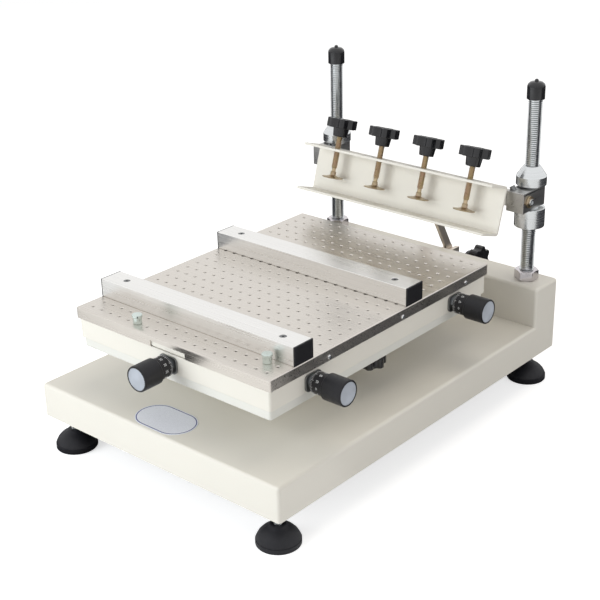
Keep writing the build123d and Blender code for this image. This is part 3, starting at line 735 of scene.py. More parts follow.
class PrinterStudio(bpy.types.PropertyGroup):
    """Light and floor round the printer."""

    key_power: amount("Key light", "Power of the large light at the front left, in watts", 42, 500)
    fill_power: amount("Fill light", "Power of the light at the right, in watts", 10, 500)
    top_power: amount("Top light", "Power of the light above, in watts", 11, 500)
    ambient: amount("Ambient", "Strength of the light from all round", 0.36, 2)
    floor: colour("Floor", "Colour of the floor", 0.86, 0.86, 0.86)


# Base

def base_body_shape(sizes):
    """Upside-down pan with a raised back, hollow and open below."""
    low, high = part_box("base_shell")
    step_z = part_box("pedestal")[0].z
    step_y = 2 * centre("left_post").y - high.y
    outline = [
        (low.y, low.z), (high.y, low.z), (high.y, high.z),
        (step_y, high.z), (step_y, step_z), (low.y, step_z),
    ]
    bm = prism([(low.x, y, z) for y, z in outline], (high.x - low.x, 0, 0))
    folds = [edge for edge in sharp_edges(bm) if not stays_sharp(edge, step_y, step_z, low.z)]
    soften(bm, folds, sizes.edge_round, 5)
    below = min(bm.faces, key=lambda face: face.calc_center_median().z)
    bmesh.ops.inset_region(bm, faces=[below], thickness=sizes.sheet, use_even_offset=True)
    roof = push(bm, [below], (0, 0, step_z - sizes.sheet - low.z))[0]
    made = bmesh.ops.bisect_plane(
        bm, geom=[roof] + list(roof.edges) + list(roof.verts),
        plane_co=(0, step_y + sizes.sheet, 0), plane_no=(0, 1, 0),
    )
    halves = [item for item in made["geom"] if isinstance(item, bmesh.types.BMFace)]
    rear = max(halves, key=lambda face: face.calc_center_median().y)
    push(bm, [rear], (0, 0, high.z - step_z))
    return bm


def stays_sharp(edge, step_y, step_z, bottom_z):
    """True for the edge where the slab meets the riser, and for the edges on the floor side."""
    at_step = runs_along(edge, X) and lies_at(edge, Y, step_y) and lies_at(edge, Z, step_z)
    return at_step or lies_at(edge, Z, bottom_z)


def badge_shape(sizes):
    """Bare oval plate with a thin line inside its rim, lying in XY."""
    radius = sizes.badge_depth / 2
    half = sizes.badge_width / 2 - radius
    segments, height, rim, line = 48, 0.35 * MM, 1.2 * MM, 1.1 * MM
    bm = bmesh.new()
    turn = Matrix.Rotation(pi / segments, 4, "Z")
    bmesh.ops.create_circle(bm, cap_ends=True, radius=radius, segments=segments, matrix=turn)
    for side in (-1, 1):
        verts = [vert for vert in bm.verts if vert.co.x * side > 0]
        bmesh.ops.translate(bm, vec=(side * half, 0, 0), verts=verts)
    push(bm, bm.faces[:], (0, 0, height))
    bmesh.ops.recalc_face_normals(bm, faces=bm.faces)
    top = farthest_face(bm, Z)
    bmesh.ops.inset_region(bm, faces=[top], thickness=rim, use_even_offset=True)
    ring = bmesh.ops.inset_region(bm, faces=[top], thickness=line, use_even_offset=True)["faces"]
    for face in ring:
        face.material_index = 1
    return bm


def foot_shape(node, sizes, threads):
    """Domed foot with an upright rim and a threaded stem."""
    low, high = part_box(node)
    middle = centre(node)
    rim, edge, top = (high.x - low.x) / 2 / MM, sizes.foot_rim / MM, 24
    dome = lathe(in_mm(
        (0, 0.6), (rim - 3, 0.6), (rim - 2.4, 0), (rim - 0.6, 0), (rim, 0.8), (rim, edge),
        (rim - 0.7, edge + 0.2), (rim - 0.7, edge + 1), (rim - 1.1, edge + 2.4), (rim - 3, edge + 6),
        (rim - 7, top - 7.6), (13.5, top - 4.4), (10.5, top - 2.4), (9.6, top - 1), (8, top), (0, top),
    ), 64)
    stem_diameter, stem_pitch, stem_start = 10 * MM, 1.5 * MM, (top - 2) * MM
    stem = threaded_rod(stem_diameter, stem_pitch, high.z - stem_start, threads.steps)
    placed(painted(stem, 1), (0, 0, stem_start))
    return placed(joined([dome, stem]), (middle.x, middle.y, low.z))


class PRINTER_OT_base(bpy.types.Operator):
    """Make the folded base body"""

    bl_idname = "printer.base"
    bl_label = "Base"

    def execute(self, context):
        bm = base_body_shape(context.scene.printer_base)
        make_piece(bm, "base_body", "cream_coat", "base_shell")
        return {"FINISHED"}


class PRINTER_OT_badge(bpy.types.Operator):
    """Make the bare oval plate on the front of the base"""

    bl_idname = "printer.badge"
    bl_label = "Badge"

    def execute(self, context):
        from_platform = Vector((-7 * MM, -202 * MM, 0))
        place = centre("platform_plate") + from_platform
        place.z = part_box("pedestal")[0].z
        bm = placed(badge_shape(context.scene.printer_base), place)
        make_piece(bm, "badge_plate", "badge_face badge_line", body="root")
        return {"FINISHED"}


class PRINTER_OT_feet(bpy.types.Operator):
    """Make the four levelling feet and the lock nuts on their stems"""

    bl_idname = "printer.feet"
    bl_label = "Feet"

    def execute(self, context):
        scene = context.scene
        across, height, bore = 17 * MM, 6 * MM, 5 * MM
        for foot in FEET:
            node = f"{foot}_foot"
            bm = foot_shape(node, scene.printer_base, scene.printer_threads)
            make_piece(bm, f"{foot}_levelling_foot", "foot_black bright_steel", node)
            place = centre(node)
            place.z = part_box("bottom_cover")[0].z - height
            nut = placed(hexagon(across, height, bore), place)
            make_piece(nut, f"{foot}_lock_nut", "bright_steel", body="root")
        return {"FINISHED"}


# Posts and carriage

def cap_shape(length):
    """Soft cap with a rounded shoulder and a small nipple, hollow below."""
    top = length / MM
    shoulder = top - 3
    return lathe(in_mm(
        (9, 0), (11, 0), (11, shoulder - 6), (10.2, shoulder - 3), (7.8, shoulder - 0.9), (4.5, shoulder),
        (2.6, shoulder), (2.2, top - 0.8), (1.2, top), (0, top), (0, top - 6), (9, top - 6),
    ), closed=True)


def round_nut_outline(height, outer, cone):
    """Half section of a round nut: a neck towards the block, a straight rim and, on some, a cone."""
    height, outer = height / MM, outer / MM
    bore, neck_radius, neck, chamfer, tip = 9, 11, 1.8, 0.4, 10
    if cone:
        end = [(outer, height - cone), (tip + 0.6, height - chamfer), (tip, height)]
    else:
        end = [(outer, height - chamfer), (outer - chamfer, height)]
    return in_mm(
        (bore, 0), (neck_radius, 0), (neck_radius, neck), (outer - chamfer, neck), (outer, neck + chamfer),
        *end, (bore, height),
    )


class PRINTER_OT_posts(bpy.types.Operator):
    """Make the threaded posts with their nuts and caps"""

    bl_idname = "printer.posts"
    bl_label = "Posts"

    def execute(self, context):
        threads = context.scene.printer_threads
        cap_low, cap_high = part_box("post_caps")
        nut_low, nut_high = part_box("post_nuts")
        skirt = cap_low.z + 6 * MM
        across, inner_height, outer_height = 27 * MM, 10 * MM, 13 * MM
        nuts, caps = [], []
        for side in SIDES:
            node = f"{side}_post"
            low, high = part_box(node)
            middle = centre(node)
            diameter = high.x - low.x
            rod = threaded_rod(diameter, threads.post_pitch, high.z - low.z, threads.steps)
            placed(rod, (middle.x, middle.y, low.z))
            make_piece(rod, f"{side}_threaded_post", "thread_steel", node)
            for bottom, height in ((nut_low.z, inner_height), (nut_high.z - inner_height, outer_height)):
                nuts.append(placed(hexagon(across, height, diameter / 2), (middle.x, middle.y, bottom)))
            caps.append(placed(cap_shape(cap_high.z - skirt), (middle.x, middle.y, skirt)))
        make_piece(joined(nuts), "hexagon_nuts", "nut_steel", "post_nuts")
        make_piece(joined(caps), "soft_caps", "gloss_black", "post_caps")
        return {"FINISHED"}


class PRINTER_OT_carriage(bpy.types.Operator):
    """Make the carriage blocks, the round nuts and the small screws in the blocks"""

    bl_idname = "printer.carriage"
    bl_label = "Carriage"

    def execute(self, context):
        for side in SIDES:
            node = f"{side}_block"
            low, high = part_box(node)
            block = box(low, high)
            soften(block, sharp_edges(block), 0.9 * MM)
            make_piece(block, f"{side}_carriage_block", "milled_block", node)
            self.make_set_screw(side, low, high)
            self.make_round_nuts(side, low, high)
        return {"FINISHED"}

    def make_set_screw(self, side, low, high):
        """Socket screw that leans inwards on the inner top edge of a block."""
        inwards, edge = (1, high.x) if side == "left" else (-1, low.x)
        lean, inset, sunk = radians(35), 6 * MM, 3 * MM
        seat = (edge - inwards * inset, joint_point("holder_tilt").y - sunk, high.z - sunk)
        place = standing(seat, (inwards * sin(lean), 0, cos(lean)))
        screw = placed(socket_screw(7 * MM, 8 * MM, 3 * MM), place)
        make_piece(screw, f"{side}_set_screw", "dark_steel", body="carriage")

    def make_round_nuts(self, side, low, high):
        """Round nuts above and below a block, the upper one with a cone."""
        middle = centre(f"{side}_post")
        for level, cone, start, direction in (("upper", 13, high.z, 1), ("lower", 0, low.z, -1)):
            node = f"{side}_{level}_collar"
            nut_low, nut_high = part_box(node)
            outline = round_nut_outline(nut_high.z - nut_low.z, (nut_high.x - nut_low.x) / 2, cone)
            place = standing((middle.x, middle.y, start), (0, 0, direction))
            nut = placed(lathe(outline, 72, closed=True), place)
            make_piece(nut, f"{side}_{level}_round_nut", "turned_steel", node)


# Stage

def pan_shape(node):
    """Shallow pan, open above, with rounded upright corners and folded bottom edges."""
    low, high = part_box(node)
    corner, fold, sheet = 3 * MM, 1.2 * MM, 2 * MM
    bm = soften_upright(box(low, high), corner, 4)
    soften(bm, [edge for edge in sharp_edges(bm, STEEP) if lies_at(edge, Z, low.z)], fold, 3)
    above = farthest_face(bm, Z)
    bmesh.ops.inset_region(bm, faces=[above], thickness=sheet, use_even_offset=True)
    push(bm, [above], (0, 0, low.z + sheet - high.z))
    return bm


class PRINTER_OT_stage(bpy.types.Operator):
    """Make the two pans of the stage"""

    bl_idname = "printer.stage"
    bl_label = "Stage"

    def execute(self, context):
        make_piece(pan_shape("stage_tray"), "lower_pan", "pan_coat", "stage_tray")
        make_piece(pan_shape("stage_box"), "upper_pan", "cream_coat", "stage_box")
        return {"FINISHED"}


def dial_outline(knobs, length, thimble):
    """Half section of a dial ring and thimble, with a sunk disc in the end."""
    dial, ring = knobs.dial_diameter / 2 / MM, knobs.dial_length / MM
    end, rim = length / MM, thimble / MM
    return in_mm(
        (0, 0), (dial - 0.8, 0), (dial, 0.8), (dial, ring), (rim - 1.2, ring), (rim, ring + 1.2),
        (rim, end - 1.2), (rim - 0.4, end - 0.4), (rim - 1.2, end), (rim - 2, end), (rim - 2, end - 0.5),
        (0, end - 0.5),
    )


def dial_marks(knobs):
    """Lines and numbers round a dial, along Z from its inner end."""
    radius = knobs.dial_diameter / 2
    start, number_middle, number_depth = 0.9 * MM, 9.4 * MM, 0.3 * MM
    sunk, proud = 0.2 * MM, 0.06 * MM
    upright = Matrix(((0, 0, 1, 0), (0, 1, 0, 0), (-1, 0, 0, 0), (0, 0, 0, 1)))
    shapes = []
    for number in range(knobs.divisions):
        long = number % knobs.number_every == 0
        line, half = (3.2 * MM, 0.22 * MM) if long else (2 * MM, 0.15 * MM)
        turn = Matrix.Rotation(2 * pi * number / knobs.divisions, 4, "Z")
        mark = box((radius - sunk, -half, start), (radius + proud, half, start + line))
        shapes.append(placed(mark, turn))
        if long:
            text = numeral(str(number), knobs.number_height, number_depth)
            middle = Matrix.Translation((radius - sunk / 2, 0, number_middle))
            shapes.append(placed(text, turn @ middle @ upright))
    return joined(shapes)


def dial_shape(knobs, length, thimble):
    """Dial and thimble along Z, with a grey disc in the end, a small cross hole and the printed marks."""
    body = lathe(dial_outline(knobs, length, thimble), 64)
    for face in body.faces:
        middle = face.calc_center_median()
        if face.normal.z > 0.9 and middle.z > length - 0.6 * MM and middle.xy.length < 12.9 * MM:
            face.material_index = 2
    hole = lathe(in_mm((0, 10), (1.5, 10), (1.5, 20), (0, 20)), 16)
    turned = Matrix.Rotation(radians(100), 4, "Z") @ Matrix.Rotation(radians(90), 4, "Y")
    body = cut(body, placed(hole, Matrix.Translation((0, 0, knobs.dial_length + 6 * MM)) @ turned))
    return joined([body, painted(dial_marks(knobs), 1)])


def flange_shape():
    """Small plate with round corners, and on it the sleeve that a spindle turns in."""
    half_x, half_y, thickness = 13 * MM, 10 * MM, 2.5 * MM
    plate = box((-half_x, -half_y, 0), (half_x, half_y, thickness))
    soften_upright(plate, 5 * MM, 5)
    soften(plate, sharp_edges(plate, STEEP), 0.4 * MM)
    sleeve = lathe(in_mm((0, 0), (8, 0), (8, 2.2), (7, 3.2), (0, 3.2)))
    return joined([plate, placed(painted(sleeve, 1), (0, 0, thickness))])


class PRINTER_OT_adjusters(bpy.types.Operator):
    """Make the flanges, sleeves, dials and thimbles of the three adjusters"""

    bl_idname = "printer.adjusters"
    bl_label = "Adjusters"

    def execute(self, context):
        flanges = []
        for adjuster in ADJUSTERS:
            node = f"{adjuster}_knob"
            point, axis = joint_point(f"{node}_turn"), joint_axis(f"{node}_turn")
            start, end = reach(node, point, axis)
            place = facing(point, axis.cross(Vector((0, 0, 1))), axis)
            low, high = extents(node, place)
            flanges.append(placed(flange_shape(), place))
            dial = dial_shape(context.scene.printer_knobs, end - start, (high.x - low.x) / 2)
            placed(dial, place @ Matrix.Translation((0, 0, start)))
            make_piece(dial, f"{adjuster}_dial", "satin_black white_mark disc_grey", node)
        flange_finishes = "dark_steel bright_steel"
        make_piece(joined(flanges), "dial_flanges", flange_finishes, "adjuster_flanges")
        return {"FINISHED"}


# Platform

def holed_cell(plate):
    """Flat cell of the grid with a round, chamfered hole in its middle."""
    bm = bmesh.new()
    sides, mouth = plate.hole_sides, plate.hole_mouth / 2
    turn = Matrix.Rotation(pi / sides, 4, "Z")
    bmesh.ops.create_circle(bm, cap_ends=False, radius=mouth, segments=sides, matrix=turn)
    square = bmesh.ops.create_grid(bm, x_segments=1, y_segments=1, size=0.5)["verts"]
    bmesh.ops.scale(bm, vec=(plate.pitch_x, plate.pitch_y, 1), verts=square)
    bmesh.ops.delete(bm, geom=bm.faces[:], context="FACES_ONLY")
    bmesh.ops.bridge_loops(bm, edges=bm.edges[:])
    rim = [edge for edge in bm.edges if edge.is_boundary and edge.verts[0].co.length < plate.hole_mouth]
    bore = draw_out(bm, rim, (0, 0, plate.hole / 2 - mouth))
    narrowing = plate.hole / plate.hole_mouth
    bmesh.ops.scale(bm, vec=(narrowing, narrowing, 1), verts=bore)
    return bm


def hole_grid(plate):
    """Flat sheet of all the holes' cells, centred on the origin."""
    mesh = mesh_of(holed_cell(plate))
    bm = bmesh.new()
    for column in range(plate.columns):
        for row in range(plate.rows):
            before = len(bm.verts)
            bm.from_mesh(mesh)
            bm.verts.ensure_lookup_table()
            x = (column - (plate.columns - 1) / 2) * plate.pitch_x
            y = (row - (plate.rows - 1) / 2) * plate.pitch_y
            bmesh.ops.translate(bm, vec=(x, y, 0), verts=bm.verts[before:])
    bpy.data.meshes.remove(mesh)
    bmesh.ops.remove_doubles(bm, verts=bm.verts, dist=MERGE)
    return bm


def platform_shape(plate):
    """Perforated sheet with its apron folded down all round and a finger notch in front."""
    low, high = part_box("platform_plate")
    middle = (low + high) / 2
    half = (high - low).xy / 2
    grid = (plate.columns * plate.pitch_x / 2, plate.rows * plate.pitch_y / 2)
    sides = [(axis, side) for axis in (X, Y) for side in (-1, 1)]
    bm = hole_grid(plate)
    for axis, side in sides:
        border = [edge for edge in bm.edges if lies_at(edge, axis, side * grid[axis])]
        offset = Vector((0, 0, 0))
        offset[axis] = side * (half[axis] - grid[axis])
        draw_out(bm, border, offset)
    outer = [
        edge for edge in bm.edges
        if edge.is_boundary and any(lies_at(edge, axis, side * half[axis]) for axis, side in sides)
    ]
    draw_out(bm, outer, (0, 0, low.z - high.z))
    bmesh.ops.recalc_face_normals(bm, faces=bm.faces)
    if farthest_face(bm, Z).normal.z < 0:
        bmesh.ops.reverse_faces(bm, faces=bm.faces)
    cut_notch(bm, plate, -half.y, low.z - high.z)
    soften(bm, sharp_edges(bm, STEEP), plate.fold, 3)
    bmesh.ops.solidify(bm, geom=bm.faces[:], thickness=plate.sheet)
    return placed(bm, (middle.x, middle.y, high.z))


def cut_notch(bm, plate, front_y, bottom_z):
    """Take the finger notch out of the front apron."""
    half, top = plate.notch_width / 2, bottom_z + plate.notch_height
    for point, direction in (((half, 0, 0), (1, 0, 0)), ((-half, 0, 0), (1, 0, 0)), ((0, 0, top), (0, 0, 1))):
        apron = [face for face in bm.faces if lies_at(face, Y, front_y)]
        edges = {edge for face in apron for edge in face.edges}
        verts = {vert for face in apron for vert in face.verts}
        bmesh.ops.bisect_plane(
            bm, geom=apron + list(edges) + list(verts), dist=MERGE, plane_co=point, plane_no=direction
        )
    gone = [
        face for face in bm.faces if lies_at(face, Y, front_y)
        and abs(face.calc_center_median().x) < half and face.calc_center_median().z < top
    ]
    bmesh.ops.delete(bm, geom=gone, context="FACES")


class PRINTER_OT_platform(bpy.types.Operator):
    """Make the perforated platform and the screws in its apron"""

    bl_idname = "printer.platform"
    bl_label = "Platform"

    def execute(self, context):
        node = "platform_plate"
        bm = platform_shape(context.scene.printer_plate)
        make_piece(bm, "perforated_platform", "brushed_sheet", node)
        low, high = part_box(node)
        below_top = 9.5 * MM
        screw = pan_screw(5 * MM, 1.4 * MM)
        screws = []
        for x, direction in ((low.x, -1), (high.x, 1)):
            for from_middle in (-105 * MM, 26 * MM, 152 * MM):
                point = (x, centre(node).y + from_middle, high.z - below_top)
                screws.append(placed(screw.copy(), standing(point, (direction, 0, 0))))
        make_piece(joined(screws), "apron_screws", "bright_steel", body="platform")
        return {"FINISHED"}


def rail_screw_places(node):
    """Tops of the two screws that hold a rail."""
    middle = centre(node)
    from_middle = 121 * MM
    return [(middle.x + side * from_middle, middle.y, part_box(node)[1].z) for side in (-1, 1)]


def rail_shape(node):
    """Rectangular tube with rounded long edges and two countersunk holes in its top."""
    low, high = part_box(node)
    wall = Vector((-MM, 2 * MM, 2 * MM))
    bm = box(low, high)
    soften(bm, [edge for edge in bm.edges if runs_along(edge, X)], 0.7 * MM, 3)
    bm = cut(bm, box(low + wall, high - wall))
    for place in rail_screw_places(node):
        seat = lathe(in_mm((0, -3), (2.4, -3), (2.4, -2.2), (4.7, 0.1), (0, 0.1)), 32)
        bm = cut(bm, placed(seat, place))
    return bm


def rail_screw_shape():
    """Countersunk screw head with a socket, a little below the surface at the origin."""
    head = lathe(in_mm((0, -3), (2.2, -3), (2.2, -2.4), (4.2, -0.5), (0, -0.5)), 32)
    return cut(head, placed(hexagon(2.5 * MM, 3 * MM), (0, 0, -1.8 * MM)))


def plug_shapes(node):
    """End plugs of a rail, each with its outer edges rounded."""
    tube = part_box(node)
    low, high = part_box(f"{node}_plugs")
    plugs = []
    for outer, inner in ((low.x, tube[0].x), (high.x, tube[1].x)):
        left, right = sorted((outer, inner))
        plug = box((left, low.y, low.z), (right, high.y, high.z))
        plugs.append(soften(plug, [edge for edge in plug.edges if lies_at(edge, X, outer)], 0.8 * MM, 3))
    return plugs


class PRINTER_OT_rails(bpy.types.Operator):
    """Make the two rails on the platform with their plugs and screws"""

    bl_idname = "printer.rails"
    bl_label = "Rails"

    def execute(self, context):
        screw = rail_screw_shape()
        for node in ("front_rail", "rear_rail"):
            make_piece(rail_shape(node), f"{node}_tube", "satin_rail", node)
            screws = [placed(screw.copy(), place) for place in rail_screw_places(node)]
            make_piece(joined(screws), f"{node}_screws", "dark_steel", body=BODY_OF[node])
            plugs = joined(plug_shapes(node))
            make_piece(plugs, f"{node}_end_plugs", "satin_black", f"{node}_plugs")
        return {"FINISHED"}


def pin_shape(node):
    """Locating pin: a shank in the plate, a barrel and a wider head."""
    low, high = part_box(node)
    middle = centre(node)
    seat = (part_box("platform_plate")[1].z - low.z) / MM
    top, head = (high.z - low.z) / MM, (high.x - low.x) / 2 / MM
    shank, barrel = 1.3, 5.1
    outline = in_mm(
        (0, 0), (shank, 0), (shank, seat), (barrel - 0.5, seat), (barrel, seat + 0.5), (barrel, top - 3.8),
        (head - 0.4, top - 3), (head, top - 2.6), (head, top - 0.5), (head - 0.6, top), (0, top),
    )
    return placed(lathe(outline), (middle.x, middle.y, low.z))


class PRINTER_OT_pins(bpy.types.Operator):
    """Make the two locating pins"""

    bl_idname = "printer.pins"
    bl_label = "Pins"

    def execute(self, context):
        for side in SIDES:
            node = f"{side}_pin"
            make_piece(pin_shape(node), f"{side}_locating_pin", "pin_plating", node)
        return {"FINISHED"}


# Stencil holder

def channel_shape():
    """Folded C that opens to the front, in the leaning holder's place."""
    place = holder_place()
    low, high = extents("clamp_channel", place)
    fold, sheet, rim = 4 * MM, 3 * MM, 0.35 * MM
    bm = bmesh.new()
    corners = [(low.y, high.z), (high.y, high.z), (high.y, low.z), (low.y, low.z)]
    wire(bm, [(low.x, y, z) for y, z in corners])
    draw_out(bm, bm.edges[:], (high.x - low.x, 0, 0))
    bmesh.ops.recalc_face_normals(bm, faces=bm.faces)
    if farthest_face(bm, Y).normal.y < 0:
        bmesh.ops.reverse_faces(bm, faces=bm.faces)
    soften(bm, [edge for edge in bm.edges if len(edge.link_faces) == 2], fold, 5)
    bmesh.ops.solidify(bm, geom=bm.faces[:], thickness=sheet)
    soften(bm, sharp_edges(bm, STEEP), rim)
    return placed(bm, place)


def bracket_shape(left, thickness, tab, radius):
    """Round-ended plate: an eye at the origin and a tab that reaches to a place on minus Y."""
    bm = bmesh.new()
    turned = Matrix.Translation((left, 0, 0)) @ Matrix.Rotation(pi / 2, 4, "Y")
    bmesh.ops.create_circle(bm, cap_ends=True, radius=radius, segments=48, matrix=turned)
    made = bmesh.ops.bisect_plane(
        bm, geom=parts_of(bm), plane_co=(0, 0, 0), plane_no=(0, -1, 0), clear_outer=True
    )
    seam = [item for item in made["geom_cut"] if isinstance(item, bmesh.types.BMEdge)]
    draw_out(bm, seam, (0, tab, 0))
    push(bm, bm.faces[:], (thickness, 0, 0))
    bmesh.ops.recalc_face_normals(bm, faces=bm.faces)
    return soften(bm, sharp_edges(bm, STEEP), 0.5 * MM)


class PRINTER_OT_holder(bpy.types.Operator):
    """Make the clamp channel, its hinge brackets, the shaft and the support arm"""

    bl_idname = "printer.holder"
    bl_label = "Holder"

    def execute(self, context):
        make_piece(channel_shape(), "folded_channel", "cream_coat", "clamp_channel")
        place = holder_place()
        low, high = extents("hinge_brackets", place)
        thickness, radius = 5 * MM, 10 * MM
        brackets = joined([
            placed(bracket_shape(left, thickness, low.y, radius), place)
            for left in (low.x, high.x - thickness)
        ])
        make_piece(brackets, "channel_brackets", "cream_coat", "hinge_brackets")
        self.make_shaft()
        self.make_arm()
        return {"FINISHED"}

    def make_shaft(self):
        """Shaft through the blocks, with a washer and a screw at each end."""
        low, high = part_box("hinge_shaft")
        pivot = joint_point("holder_tilt")
        shaft = disc((high.z - low.z) / 2, high.x - low.x, 0.5 * MM)
        placed(shaft, standing((low.x, pivot.y, pivot.z), (1, 0, 0)))
        make_piece(shaft, "pivot_shaft", "bright_steel", "hinge_shaft")
        washer = 2 * MM
        head_height = 0.6 * (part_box("pivot_screws")[1].x - high.x - washer)
        ends = []
        for x, direction in ((low.x, -1), (high.x, 1)):
            place = standing((x, pivot.y, pivot.z), (direction, 0, 0))
            ends.append(placed(disc(7.5 * MM, washer, 0.3 * MM), place))
            head = painted(socket_screw(9 * MM, head_height, 5 * MM), 1)
            ends.append(placed(head, place @ Matrix.Translation((0, 0, washer))))
        end_finishes = "yellow_plating bright_steel"
        make_piece(joined(ends), "shaft_end_screws", end_finishes, "pivot_screws")

    def make_arm(self):
        """Flat support arm with an eye on the shaft."""
        pivot, lock = joint_point("holder_tilt"), joint_point("arm_lock_turn")
        down = Vector((0, lock.y - pivot.y, lock.z - pivot.z)).normalized()
        low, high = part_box("support_arm")
        start, end = reach("support_arm", pivot, down)
        half, thickness = 5.75 * MM, high.x - low.x
        bar = box((0, -half, -start * 0.3), (thickness, half, end))
        soften(bar, sharp_edges(bar), 0.6 * MM)
        eye = placed(disc(-start, thickness, 0.5 * MM), Matrix.Rotation(pi / 2, 4, "Y"))
        place = facing((low.x, pivot.y, pivot.z), Vector((1, 0, 0)), down)
        arm = placed(joined([bar, eye]), place)
        make_piece(arm, "flat_support_arm", "dull_steel", "support_arm")


# Clamps and locks

def pad_shape(scene, length):
    """Swivel pad: a thin dished disc that rises to a hub."""
    top = length / MM
    return lathe(in_mm(
        (0, 0), (13.4, 0), (14, 0.5), (14, 1.2), (9, 2), (5.4, 3), (3.8, 4),
        (3.6, top - 0.6), (3, top), (0, top),
    ), 56)


def knob_shape(scene, length):
    """Star knob in the sizes of the settings."""
    return star_knob(scene.printer_knobs, length)


def rod_shape(scene, length):
    """Threaded rod of a clamp or a lock."""
    threads = scene.printer_threads
    return threaded_rod(8 * MM, threads.screw_pitch, length, threads.steps)


def clamp_screw_shape(scene, length):
    """Clamp screw with a plain neck that sits in the pad."""
    neck = 5 * MM
    rod = placed(rod_shape(scene, length - neck), (0, 0, neck))
    return joined([rod, lathe(in_mm((0, 0), (2.6, 0), (2.6, 4), (3.2, 5.2), (0, 5.2)))])


def make_on_axis(scene, joint, pieces):
    """Make the pieces that turn round one joint's axis, each in the place of its node."""
    for node, name, shape, finish, slot in pieces:
        place, length = seat_of(node, joint)
        make_piece(placed(shape(scene, length), place), name, finish, node)


def fork_shape():
    """Bracket on the back of the riser: a plate and two cheeks that the arm goes between."""
    low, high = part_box("arm_fork")
    cheek, plate = 6 * MM, 3 * MM
    left, right, floor = low.x + cheek, high.x - cheek, low.y + plate
    outline = [
        (low.x, low.y), (high.x, low.y), (high.x, high.y), (right, high.y),
        (right, floor), (left, floor), (left, high.y), (low.x, high.y),
    ]
    fork = prism([(x, y, low.z) for x, y in outline], (0, 0, high.z - low.z))
    return soften(fork, sharp_edges(fork), 0.6 * MM)


class PRINTER_OT_clamps(bpy.types.Operator):
    """Make the pads, screws and star knobs of the four clamps"""

    bl_idname = "printer.clamps"
    bl_label = "Clamps"

    def execute(self, context):
        for number in CLAMPS:
            pad, screw, knob = (f"clamp_{part}_{number}" for part in ("pad", "screw", "knob"))
            make_on_axis(context.scene, f"clamp_{number}_turn", (
                (pad, f"swivel_pad_{number}", pad_shape, "pad_plating", "pad_zinc"),
                (screw, f"threaded_{screw}", clamp_screw_shape, "yellow_plating", "yellow_zinc"),
                (knob, f"star_knob_{number}", knob_shape, "gloss_black", "black_plastic"),
            ))
        return {"FINISHED"}


class PRINTER_OT_locks(bpy.types.Operator):
    """Make the fork and the two locks with their star knobs"""

    bl_idname = "printer.locks"
    bl_label = "Locks"

    def execute(self, context):
        make_piece(fork_shape(), "slotted_fork", "dull_steel", "arm_fork")
        for lock in ("arm_lock", "table_lock"):
            make_on_axis(context.scene, f"{lock}_turn", (
                (f"{lock}_knob", f"{lock}_star_knob", knob_shape, "gloss_black", "black_plastic"),
                (f"{lock}_screw", f"{lock}_threaded_screw", rod_shape, "bright_steel", "plated_steel"),
            ))
        return {"FINISHED"}


class PRINTER_OT_inner_pieces(bpy.types.Operator):
    """Finish the inner pieces that keep their shape from the frame"""

    bl_idname = "printer.inner_pieces"
    bl_label = "Inner pieces"

    def execute(self, context):
        coats = {
            "cream_coat": ("pedestal", "bottom_cover", "platform_pan"),
            "inner_steel": ("y_rails", "y_slide", "x_slide"),
            "white_plastic": ("glide_pads",),
            "bright_steel": ("y_spindle", "x_spindle", "theta_spindle"),
        }
        for finish, nodes in coats.items():
            for node in nodes:
                for slot in frame["nodes"][node].material_slots:
                    slot.material = finish_named(finish)
        return {"FINISHED"}


# Studio

def seen_amount(nodes, links, direct, mirrored):
    """One amount for what the camera sees by itself, one for what it sees in metal and glass, and 0 else."""
    light_path = nodes.new("ShaderNodeLightPath")
    total = None
    for ray, amount in (("Camera", direct), ("Glossy", mirrored), ("Transmission", mirrored)):
        part = nodes.new("ShaderNodeMath")
        part.operation = "MULTIPLY_ADD"
        links.new(light_path.outputs[f"Is {ray} Ray"], part.inputs[0])
        part.inputs[1].default_value = amount
        part.inputs[2].default_value = 0
        if total:
            links.new(total, part.inputs[2])
        total = part.outputs["Value"]
    return total


def floor_finish(colour):
    """Pale floor that reads as white to the camera and light in reflections, and keeps its shadow."""
    finish = Finish("floor_white", colour, 0.0, 0.9)
    nodes, links = finish.nodes, finish.links
    glow = nodes.new("ShaderNodeEmission")
    links.new(seen_amount(nodes, links, 0.64, 0.2), glow.inputs["Strength"])
    both = nodes.new("ShaderNodeAddShader")
    links.new(finish.shader.outputs["BSDF"], both.inputs[0])
    links.new(glow.outputs["Emission"], both.inputs[1])
    links.new(both.outputs["Shader"], nodes["Material Output"].inputs["Surface"])
    return finish.material


def set_world(ambient):
    """White backdrop for the camera and in reflections, and an even ambient light for the rest."""
    world = bpy.data.worlds.new("studio")
    bpy.context.scene.world = world
    world.use_nodes = True
    nodes, links = world.node_tree.nodes, world.node_tree.links
    background = nodes["Background"]
    mix = nodes.new("ShaderNodeMix")
    mix.data_type = "FLOAT"
    mix.inputs["A"].default_value = ambient
    mix.inputs["B"].default_value = 1.0
    links.new(seen_amount(nodes, links, 1, 1), mix.inputs["Factor"])
    background.inputs["Color"].default_value = (1, 1, 1, 1)
    links.new(mix.outputs["Result"], background.inputs["Strength"])


def add_light(name, power, size, point, target, tint):
    """Large soft light that faces a target and doesn't show in reflections."""
    lamp = bpy.data.lights.new(name, "AREA")
    lamp.energy = power
    lamp.color = tint
    lamp.shape = "RECTANGLE"
    lamp.size, lamp.size_y = size
    item = shown(name, lamp)
    item.location = point
    item.rotation_euler = (target - point).to_track_quat("-Z", "Y").to_euler()
    item.visible_glossy = False


def add_to_stage(name, bm, material):
    """Piece of the studio, which isn't part of the printer."""
    mesh = mesh_of(bm, name)
    mesh.materials.append(material)
    item = shown(name, mesh)
    return item


